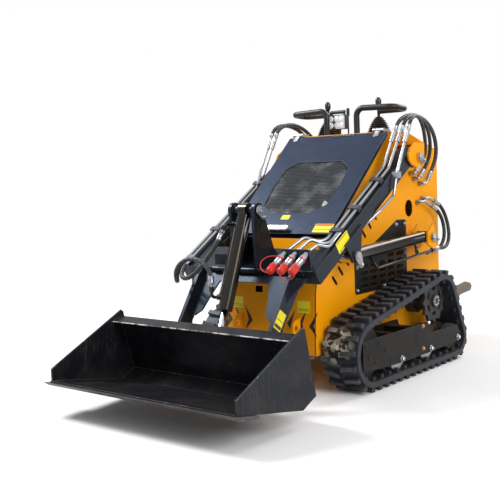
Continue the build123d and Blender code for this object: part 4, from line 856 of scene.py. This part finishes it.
class LOADER_OT_bodywork(bpy.types.Operator):
    """Hull panels, grilles, hood with its woven screen, hinges, latch, towers and labels"""
    bl_idname = "loader.bodywork"
    bl_label = "Bodywork"

    def execute(self, context):
        for side, node in ((1, "side_panel_left"), (-1, "side_panel_right")):
            panel = softened(node, finishes(*YELLOW, "inside"), 1.2)
            # inner faces take the near-black finish: painted shade inside the hull
            inner = side * on_grid(panel.data.polygons, "center")[:, 1] < HULL_Y - INSIDE_BY
            mark_faces(panel, 2 * inner)
        soften_each(YELLOW, front_panel=1.5, console=2.2, rear_panel=1.5, belly_plate=1.5,
                    boom_tower_left=1.8, boom_tower_right=1.8, lift_mounts=1.8, tie_downs=2.0,
                    tow_loops=0.0)
        soften_each(("frame black", "black edge"), side_grilles=0.8)
        soften_each(("hood black with painted sky", "black edge"), hood_panel=2.5)
        soften_each(("zinc",), hood_latch=1.2, hood_hinges=0.8, hood_leaves=0.8)
        softened("engine_block", finishes("iron"), 6.0, 3)
        screen = context.scene.loader_screen
        piece("hood_mesh", weave_wires(1000 * screen.pitch, 1000 * screen.wire), finishes("wire"),
              "hood", ("hood_screen",), 60.0)
        piece("hull_bolts", hull_bolts(), finishes("zinc"), "chassis")
        for name, s, y, width, height, bands in HOOD_LABELS:
            label("hood_label_" + name, on_hood(s, y, LIES_OVER), ACROSS, HOOD_UP, width, height, "hood",
                  bands)
        piece("hood_vent", hood_vent(), finishes("boot", "zinc"), "hood")
        piece("nose_chevrons", [chevron(side * y, z, -side) for side in (-1, 1) for y, z in CHEVRONS],
              finishes("label black"), "chassis")
        for name, side in (("left", 1), ("right", -1)):
            label("nose_label_" + name, on_nose(side * NOSE_LABEL_Y, NOSE_LABEL_Z), ACROSS, NOSE_UP,
                  68, 52, "chassis", ((0.16, 0.20, "label black"), (0.3, 0.34, "label black")))
        piece("hull_pin_plates", pin_plates(HULL_PINS), finishes("zinc"), "chassis")
        return {"FINISHED"}


# ---------- boom and couplers
COUPLERS_Y = (218.0, 274.0, 330.0)
COUPLER_START = np.array((784.0, 628.0))    # x, z of each one's seat
COUPLER_DIP = math.radians(31)
COUPLER_WAY = np.array((math.cos(COUPLER_DIP), -math.sin(COUPLER_DIP)))

# radius and height of a coupler's turned parts along its axis
NIPPLE = [(9, -2), (11, -1), (11, 11), (12.5, 13), (12.5, 24), (9, 26)]
HEXAGON = [(10, 23), (15.5, 23.5), (15.5, 33), (10, 34)]
GROOVES = [(14.8 - 1.2 * (k % 2), 47 + 3 * k) for k in range(8)]
COUPLER_SLEEVE = [(8, 33), (14.2, 34), (15, 36), *GROOVES, (15, 72), (15, 83), (9, 84.5)]
RED_RING = [(14.5, 38), (16.5, 38.5), (17, 41), (16.5, 43.5), (14.5, 44)]
RED_CAP = [(12, 84), (17.2, 84.5), (18.5, 87), (18.5, 94), (17.5, 95.5), (17.5, 118), (16.5, 122.5),
           (13.5, 126.5), (8, 129), (2, 130)]
# profile, faces round it, and 0 for zinc or 1 for red
COUPLER_TURNED = [(NIPPLE, 24, 0), (HEXAGON, 6, 0), (COUPLER_SLEEVE, 32, 0), (RED_RING, 28, 1),
                  (RED_CAP, 32, 1)]

# the caps' straps, from cap to the next cap and from ring to cap: y from the coupler, millimetres along
# its axis, and out from it
TETHER_STEP, TETHER_RADIUS = 3.0, 2.2
CAP_TETHER = [(0, 128, 0), (4, 140, -14), (20, 136, -34), (42, 118, -36), (50, 98, -26), (56, 90, -18)]
RING_TETHER = [(0, 41, 16), (-26, 44, 22), (-56, 58, 20), (-70, 84, 12), (-52, 112, 0), (-18, 128, -4),
               (0, 129, 0)]

TUBE_LINE = [(780, y, 550) for y in (-186, -60, 60)]
TUBE_PLATE = (786, -126, 594)
ARM_LABEL, LEG_LABEL = (584, 377.2, 662), (889, 262.2, 364)
ARM_BACK, ARM_RISE = (-0.85, 0.0, 0.527), (0.527, 0.0, 0.85)    # along the arm, and square to it
LEG_BACK, LEG_RISE = (-0.8, 0.0, -0.6), (-0.6, 0.0, 0.8)
PIPES_FROM = (754.0, 0.0, 502.0)
PIPE_CLAMPS, CLAMP_HALF = (250.0, 420.0, 640.0), 14.5           # back along the arm from there


def on_coupler(y, along, out=0.0):
    """Point along millimetres down a coupler's axis, and out millimetres above it."""
    x, z = COUPLER_START + COUPLER_WAY * along + np.array((-COUPLER_WAY[1], COUPLER_WAY[0])) * out
    return at((x, y, z))


def coupler_parts(y):
    """Quick coupler turned about its axis: nipple, hexagon, knurled sleeve, red ring and red cap."""
    way = (COUPLER_WAY[0], 0, COUPLER_WAY[1])
    return [turned(profile, on_coupler(y, 0), way, around, mark)
            for profile, around, mark in COUPLER_TURNED]


def tether(y, route):
    """Moulded strap of a cap along its own smooth line."""
    line = smooth_line([on_coupler(y + step, along, out) for step, along, out in route])
    return bar(evenly(line, TETHER_STEP / 1000)[0], TETHER_RADIUS, 10, 1)


def cross_tube():
    """Tube across between the arms' toes, and the small plate above it."""
    return [bar(at(TUBE_LINE), 12.5, 24),
            slab(rounded_outline(73, 46, 4), at(TUBE_PLATE), ACROSS, UP, 8.0)]


class LOADER_OT_boom(bpy.types.Operator):
    """Lift arms, arch frame, mast, steel pipes, couplers and fittings"""
    bl_idname = "loader.boom"
    bl_label = "Boom"

    def execute(self, context):
        soften_each(BLACK, arm_left=2.5, arm_right=2.5, cross_beam=2.5, arch_frame=2.0, mast=2.0,
                    coupler_bracket=1.2)
        soften_each(("zinc",), hull_fittings=0.0)
        pipes = softened("arm_pipes", finishes("zinc", "black edge"), 0.0)
        back = (on_grid(pipes.data.polygons, "center") - PIPES_FROM) @ ARM_BACK
        mark_faces(pipes, np.abs(back[:, None] - PIPE_CLAMPS).min(axis=1) < CLAMP_HALF)
        piece("coupler_set", [part for y in COUPLERS_Y for part in coupler_parts(y)]
              + [tether(COUPLERS_Y[1], CAP_TETHER), tether(COUPLERS_Y[0], RING_TETHER)],
              finishes("zinc", "red cap"), "boom", ("couplers",), 30.0)
        piece("boom_pin_plates", pin_plates(BOOM_PINS), finishes("zinc"), "boom")
        piece("cross_tube", cross_tube(), finishes("arm black"), "boom")
        label("arm_label", at(ARM_LABEL), ARM_BACK, ARM_RISE, 100, 54, "boom",
              ((0.1, 0.16, "label black"), (0.84, 0.9, "label black")))
        label("leg_label", at(LEG_LABEL), LEG_BACK, LEG_RISE, 52, 80, "boom",
              ((0.08, 0.26, "label black"), (0.5, 0.54, "label black")))
        return {"FINISHED"}


class LOADER_OT_cylinders(bpy.types.Operator):
    """Lift and tilt cylinders with their rods and glands"""
    bl_idname = "loader.cylinders"
    bl_label = "Cylinders"

    def execute(self, context):
        soften_each(("gloss black",), lift_barrel_left=0.0, lift_barrel_right=0.0, tilt_barrel=0.0)
        soften_each(("chrome",), lift_ram_left=0.0, lift_ram_right=0.0, tilt_ram=0.0)
        return {"FINISHED"}


# ---------- bucket
LIP = [(1115.5, y, 338.0) for y in (-500, -250, 0, 250, 500)]      # the top edge, where paint chips
CHIP_RADIUS = 2.4


class LOADER_OT_bucket(bpy.types.Operator):
    """Bucket shell, cutting edge and hitch"""
    bl_idname = "loader.bucket"
    bl_label = "Bucket"

    def execute(self, context):
        soften_each(("bucket black", "worn edge"), bucket_shell=3.0)
        soften_each(BLACK, hitch_plate=1.8)
        soften_each(("edge steel",), cutting_edge=1.5)
        piece("bucket_chips", [bar(at(LIP), CHIP_RADIUS, 8)], finishes("chips"), "bucket")
        return {"FINISHED"}


# ---------- undercarriage
# x, z and radius of the wheels that the belt wraps: front idler, drive sprocket, rear roller
BELT_WHEELS = np.array([(456.0, 167.0, 122.0), (-185.0, 310.0, 108.0), (-322.0, 112.0, 67.0)])
BELT_THICK, LUG_HEIGHT = 24.0, 21.0
GUIDE_PITCH = 68.0
ROLLERS = np.array([(230.0, 104.0), (-43.0, 104.0), BELT_WHEELS[2, :2]])    # x, z
RIM_FROM, RIM_Y = 46.0, 410.0               # radius beyond which a roller is bare steel, and its face
RIM = [(46, 0), (57.5, 0), (58.5, 2), (57.5, 5), (46, 5)]
TRACK_Y, FRAME_Y, DRIVE_Y = 421.0, 443.0, 400.0     # belt's middle, frame's outer face, sprocket's hub
DRIVE_X, DRIVE_Z = BELT_WHEELS[1, :2]
DRIVE_BOLTS = 21.0                          # radius of the hub's ring of bolts
COVER_X, COVER_Z, COVER_LONG, COVER_TALL = 34.0, 170.0, 66.0, 54.0      # middle and half sizes
SEAM = np.radians(np.linspace(95, 265, 30)) # the stretch of the cover's edge that shows
PLATE_BOLTS = [(34, 223), (34, 117)]        # x, z
PLATE_PLUGS = [(509, 160), (455, 130), (369, 169), (531, 209), (420, 205)]


def belt_hull(count, closed):
    """Directions round the belt in the x-z plane, and every wheel's reach in each: c.n + r."""
    angle = np.linspace(0, 2 * np.pi, count, endpoint=closed)
    n = np.stack([np.cos(angle), np.sin(angle)])
    return n, BELT_WHEELS[:, :2] @ n + BELT_WHEELS[:, 2:]


def mark_proud(mesh):
    """Vertex measure 'proud': 0 at the belt's outer face, 1 at the lugs' tops. A point's distance outside
    the belt's inner line is the most, over directions n, of p.n - max(c.n + r)."""
    n, reach = belt_hull(720, False)
    outside = (on_grid(mesh.vertices, "co")[:, [0, 2]] @ n - reach.max(axis=0)).max(axis=1)
    proud = np.clip((outside - BELT_THICK) / LUG_HEIGHT, 0, 1)
    mesh.attributes.new("proud", "FLOAT", "POINT").data.foreach_set("value", proud.astype(np.float32))


def guide_lugs(side):
    """Lugs inside the belt: blocks a pitch apart on its inner line, the edge of the wheels' hull."""
    n, reach = belt_hull(1441, True)
    nearest = reach.argmax(axis=0)
    edge = BELT_WHEELS[nearest, :2] + BELT_WHEELS[nearest, 2:] * n.T
    line = np.stack([edge[:, 0], np.full(len(edge), side * TRACK_Y), edge[:, 1]], -1)
    spots, _ = evenly(line, GUIDE_PITCH)
    ways = unit(np.roll(spots, -1, axis=0) - np.roll(spots, 1, axis=0))
    outline = rounded_outline(15, 26, 4, 2)
    return [slab(outline, at(spot), (0, -1, 0), way, 17.0, 0, 0.25)
            for spot, way in zip(spots[:-1], ways[:-1])]


def frame_fasteners(side):
    """Axle bolts of the rollers, plate bolts and plugs, and the round cover's seam on a frame's outer
    plate, the rollers' rims, and the drive hub's ring of bolts."""
    way = (0, side, 0)
    parts = []
    for spots, size, mark in ((ROLLERS, 18.0, 0), (PLATE_BOLTS, 12.0, 1), (PLATE_PLUGS, 9.0, 2)):
        for x, z in spots:
            parts += bolt(at((x, side * FRAME_Y, z)), way, size, mark)
    seam = np.stack(np.broadcast_arrays(COVER_X - COVER_LONG * np.cos(SEAM), side * FRAME_Y,
                                        COVER_Z + COVER_TALL * np.sin(SEAM)), -1)
    parts.append(bar(at(seam), 1.3, 6, 2))
    parts += [turned(RIM, at((x, side * RIM_Y, z)), way, 40) for x, z in ROLLERS[:2]]
    for a in np.arange(8) * np.pi / 4:
        parts += bolt(at((DRIVE_X + DRIVE_BOLTS * np.cos(a), side * DRIVE_Y,
                          DRIVE_Z + DRIVE_BOLTS * np.sin(a))), way, 8.0)
    return parts


class LOADER_OT_tracks(bpy.types.Operator):
    """Rubber tracks, their frames, wheels and the rear step"""
    bl_idname = "loader.tracks"
    bl_label = "Tracks"

    def execute(self, context):
        for side, hand in ((1, "left"), (-1, "right")):
            belt = softened("track_" + hand, finishes("tread"), 2.2)
            mark_proud(belt.data)
            piece("guide_lugs_" + hand, guide_lugs(side), finishes("boot"), "chassis")
            softened("track_frame_" + hand, finishes("frame black", "black edge"), 1.5)
        piece("frame_fasteners", frame_fasteners(1) + frame_fasteners(-1),
              finishes("zinc", "copper", "boot"), "chassis")
        soften_each(("sprocket",), sprockets=1.2, idlers=1.2)
        rollers = softened("rollers", finishes("sprocket", "rim steel"), 0.0)
        spots = on_grid(rollers.data.polygons, "center")[:, None, [0, 2]] - ROLLERS
        mark_faces(rollers, np.linalg.norm(spots, axis=2).min(axis=1) > RIM_FROM)
        soften_each(("iron",), drive_motors=1.5)
        soften_each(("step brown",), platform=2.0)
        return {"FINISHED"}


# ---------- controls
STICKS_X, STICKS_Y = -150.0, (122.0, -182.0)
CONSOLE_TOP = 1140.0
FOLDS, STEPS_PER_FOLD = 9, 8
BELLOWS_FOOT, BELLOWS_HEIGHT, FOLD_DEPTH = 1.0, 80.0, 3.6
CONE_SHARES, CONE_RADII = (0, 0.25, 0.6, 0.85, 1.0), (57.5, 51, 39, 26, 16)
FLANGE = [(20, 0), (62, 0), (64, 2), (62, 5), (20, 6)]
STICK = [(4, 78), (7.5, 80), (7, 128), (10, 134), (13, 140), (15.5, 152), (15, 164), (12.5, 173),
         (8, 178), (2, 178.5)]
LAMP_X, LAMP_Y, LAMP_Z = -30.0, -50.0, 1204.0       # middle of its face
CELLS_Y, CELLS_Z = (-32.0, 0.0, 32.0), (-16.0, 16.0)        # from there
LAMP_CELL = [(14.5, 2), (14, 4), (11.5, 6.5), (7, 8), (1, 8.5)]


def joystick_parts(y):
    """Bellows, flange and stick about one axis; the bellows' r = cone(h) + depth cos(2 pi folds h/height)."""
    share = np.linspace(0, 1, FOLDS * STEPS_PER_FOLD + 1)
    cone = np.interp(share, CONE_SHARES, CONE_RADII)
    folds = zip(cone + FOLD_DEPTH * np.cos(2 * np.pi * FOLDS * share),
                BELLOWS_FOOT + BELLOWS_HEIGHT * share)
    base = at((STICKS_X, y, CONSOLE_TOP))
    return [turned([(20, 1), *folds, (5, 81)], base, UP, 36), turned(FLANGE, base, UP, 36),
            turned(STICK, base, UP, 28, 1)]


def lamp_parts():
    """Lamp face: a silvered pan and six domed cells in two rows."""
    pan = slab(rounded_outline(98, 66, 4), at((LAMP_X, LAMP_Y, LAMP_Z)), ACROSS, UP, 2.0)
    return [pan] + [turned(LAMP_CELL, at((LAMP_X, LAMP_Y + y, LAMP_Z + z)), (1, 0, 0), 24, 1)
                    for y in CELLS_Y for z in CELLS_Z]


class LOADER_OT_controls(bpy.types.Operator):
    """Grab bars, joysticks with bellows, lamp and lever"""
    bl_idname = "loader.controls"
    bl_label = "Controls"

    def execute(self, context):
        soften_each(("handle",), handles=0.0)
        piece("joystick_set", [part for y in STICKS_Y for part in joystick_parts(y)],
              finishes("boot", "knob"), "chassis", ("joysticks",), 30.0)
        soften_each(("lamp body",), work_lamp=1.0)
        piece("lamp_cells", lamp_parts(), finishes("reflector", "lamp cell"), "chassis")
        soften_each(("knob",), control_lever=0.0)
        return {"FINISHED"}


# ---------- stage
CAMERA_AT = (3.410465, 2.468, 0.9655)       # metres
CAMERA_TURN = (39.7, 4.9, -2.2)             # azimuth, elevation and roll, in degrees
# name, place, target, size, and its power as a share of the key lamp's
LAMPS = [("key lamp", (1.5, -3.4, 4.3), (0, 0, 0.5), 1.8, 1.0),
         ("side lamp", (1.6, 4.6, 3.0), (0, 0, 0.5), 2.6, 0.52),
         ("back lamp", (-3.6, 1.0, 3.6), (0, 0, 0.6), 2.4, 0.4)]
FLOOR_RINGS, FLOOR_AROUND = np.array((0.02, 3.0, 6.0, 14.0, 40.0)), 64
FLOOR_Z = -0.0006                           # just under the tracks
GLOW_FROM, GLOW_FULL = 1.4, 4.2             # distances over which the floor turns into the backdrop


class StageSettings(bpy.types.PropertyGroup):
    """Camera, lamps and floor."""
    lens: FloatProperty(name="Lens", description="Focal length on a 36 mm sensor", default=64.19,
                        min=10.0)
    floor_tone: FloatVectorProperty(name="Floor", description="Floor colour", subtype="COLOR",
                                    default=(0.88, 0.88, 0.885), min=0.0, max=1.0)
    key_power: FloatProperty(name="Key lamp", description="Power of the large soft lamp", default=330.0,
                             min=0.0, unit="POWER")
    sky: FloatProperty(name="Room light", description="Strength of the light from all round",
                       default=0.37, min=0.0)


def make_camera(scene, lens):
    """Camera that looks towards the machine from its azimuth and elevation, rolled about its line."""
    camera = bpy.data.objects.new("camera", bpy.data.cameras.new("camera"))
    scene.collection.objects.link(camera)
    camera.data.lens = lens
    camera.data.sensor_width = 36.0
    azimuth, elevation, roll = (math.radians(a) for a in CAMERA_TURN)
    back = Vector((math.cos(azimuth) * math.cos(elevation), math.sin(azimuth) * math.cos(elevation),
                   math.sin(elevation)))
    right = (-back).cross(Vector(UP)).normalized()
    up = right.cross(-back)
    rolled_right = right * math.cos(roll) + up * math.sin(roll)
    rolled_up = up * math.cos(roll) - right * math.sin(roll)
    turn = Matrix((rolled_right, rolled_up, back)).transposed().to_4x4()
    camera.matrix_world = Matrix.Translation(CAMERA_AT) @ turn
    scene.camera = camera


def make_lamp(scene, name, place, target, size, power):
    """Square soft lamp that faces its target."""
    data = bpy.data.lights.new(name, "AREA")
    data.shape = "SQUARE"
    data.size = size
    data.energy = power
    lamp = bpy.data.objects.new(name, data)
    scene.collection.objects.link(lamp)
    aim = Vector(target) - Vector(place)
    lamp.matrix_world = Matrix.Translation(place) @ aim.to_track_quat("-Z", "Y").to_matrix().to_4x4()


def seen_directly(tree):
    """1 for camera, mirror and through-glass rays, 0 for the light that falls on things."""
    rays = add(tree, "LightPath").outputs
    first = reckon(tree, "MAXIMUM", rays["Is Camera Ray"], rays["Is Glossy Ray"])
    return reckon(tree, "MAXIMUM", first, rays["Is Transmission Ray"])


def make_floor(scene, tone):
    """Disc of rings under the machine; far rings shine as the backdrop does for the camera."""
    r, a = FLOOR_RINGS[:, None], np.arange(FLOOR_AROUND) * 2 * np.pi / FLOOR_AROUND
    points = np.stack([r * np.cos(a), r * np.sin(a), 0 * r * a + FLOOR_Z], -1)
    faces = ring_faces(len(r), FLOOR_AROUND)[0].tolist() + [list(range(FLOOR_AROUND))]
    mesh = bpy.data.meshes.new("floor")
    mesh.from_pydata(points.reshape(-1, 3).tolist(), [], faces)
    material = bpy.data.materials.new("floor")
    material.use_nodes = True
    tree = material.node_tree
    shader = tree.nodes["Principled BSDF"]
    shader.inputs["Base Color"].default_value = (*tone, 1)
    shader.inputs["Roughness"].default_value = 0.85
    far = add(tree, "VectorMath", {"operation": "LENGTH"}, _0=here(tree)).outputs["Value"]
    fade = add(tree, "MapRange", {"interpolation_type": "SMOOTHSTEP"}, Value=far, _1=GLOW_FROM,
               _2=GLOW_FULL).outputs[0]
    mixed = add(tree, "MixShader", None, _0=times(tree, fade, seen_directly(tree)), _1=shader.outputs[0],
                _2=add(tree, "Emission").outputs[0])
    feed(tree, tree.nodes["Material Output"].inputs["Surface"], mixed.outputs[0])
    mesh.materials.append(material)
    floor = bpy.data.objects.new("floor", mesh)
    scene.collection.objects.link(floor)


def make_world(scene, sky):
    """Room light of one strength, which shows as white where it is seen directly."""
    world = bpy.data.worlds.new("room")
    world.use_nodes = True
    tree = world.node_tree
    ground = tree.nodes["Background"].inputs
    ground["Color"].default_value = (1, 1, 1, 1)
    feed(tree, ground["Strength"], ramp(tree, seen_directly(tree), 0.0, 1.0, sky, 1.0))
    scene.world = world


class LOADER_OT_stage(bpy.types.Operator):
    """Camera, soft lamps, pale floor and background"""
    bl_idname = "loader.stage"
    bl_label = "Stage"

    def execute(self, context):
        scene, settings = context.scene, context.scene.loader_stage
        make_camera(scene, settings.lens)
        make_world(scene, settings.sky)
        make_floor(scene, settings.floor_tone)
        for name, place, target, size, share in LAMPS:
            make_lamp(scene, name, place, target, size, share * settings.key_power)
        scene.view_settings.view_transform = "Standard"
        return {"FINISHED"}




# ---------- panel and run
class LOADER_PT_pieces(bpy.types.Panel):
    """Buttons for each group of the loader's pieces"""
    bl_idname = "LOADER_PT_pieces"
    bl_label = "Stand-on loader"
    bl_space_type = "VIEW_3D"
    bl_region_type = "UI"
    bl_category = "Loader"

    def draw(self, context):
        for settings in SETTINGS:
            group = getattr(context.scene, settings)
            for key in group.bl_rna.properties.keys():
                if key not in ("name", "rna_type"):
                    self.layout.prop(group, key)
        for operator in OPERATORS:
            self.layout.operator(operator.bl_idname)


SETTINGS = {"loader_finish": FinishSettings, "loader_hoses": HoseSettings,
            "loader_screen": ScreenSettings, "loader_stage": StageSettings}
OPERATORS = (LOADER_OT_finishes, LOADER_OT_hoses, LOADER_OT_bodywork, LOADER_OT_boom,
             LOADER_OT_cylinders, LOADER_OT_bucket, LOADER_OT_tracks, LOADER_OT_controls, LOADER_OT_stage)


def register():
    """Classes and the scene's settings."""
    for one in (*SETTINGS.values(), *OPERATORS, LOADER_PT_pieces):
        bpy.utils.register_class(one)
    for label, settings in SETTINGS.items():
        setattr(bpy.types.Scene, label, PointerProperty(type=settings))


def unregister():
    """Takes away what register added."""
    for label in SETTINGS:
        delattr(bpy.types.Scene, label)
    for one in (LOADER_PT_pieces, *OPERATORS[::-1], *SETTINGS.values()):
        bpy.utils.unregister_class(one)


def main():
    """Registers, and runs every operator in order."""
    register()
    for operator in OPERATORS:
        group, action = operator.bl_idname.split(".")
        getattr(getattr(bpy.ops, group), action)()


if __name__ == "__main__":
    main()
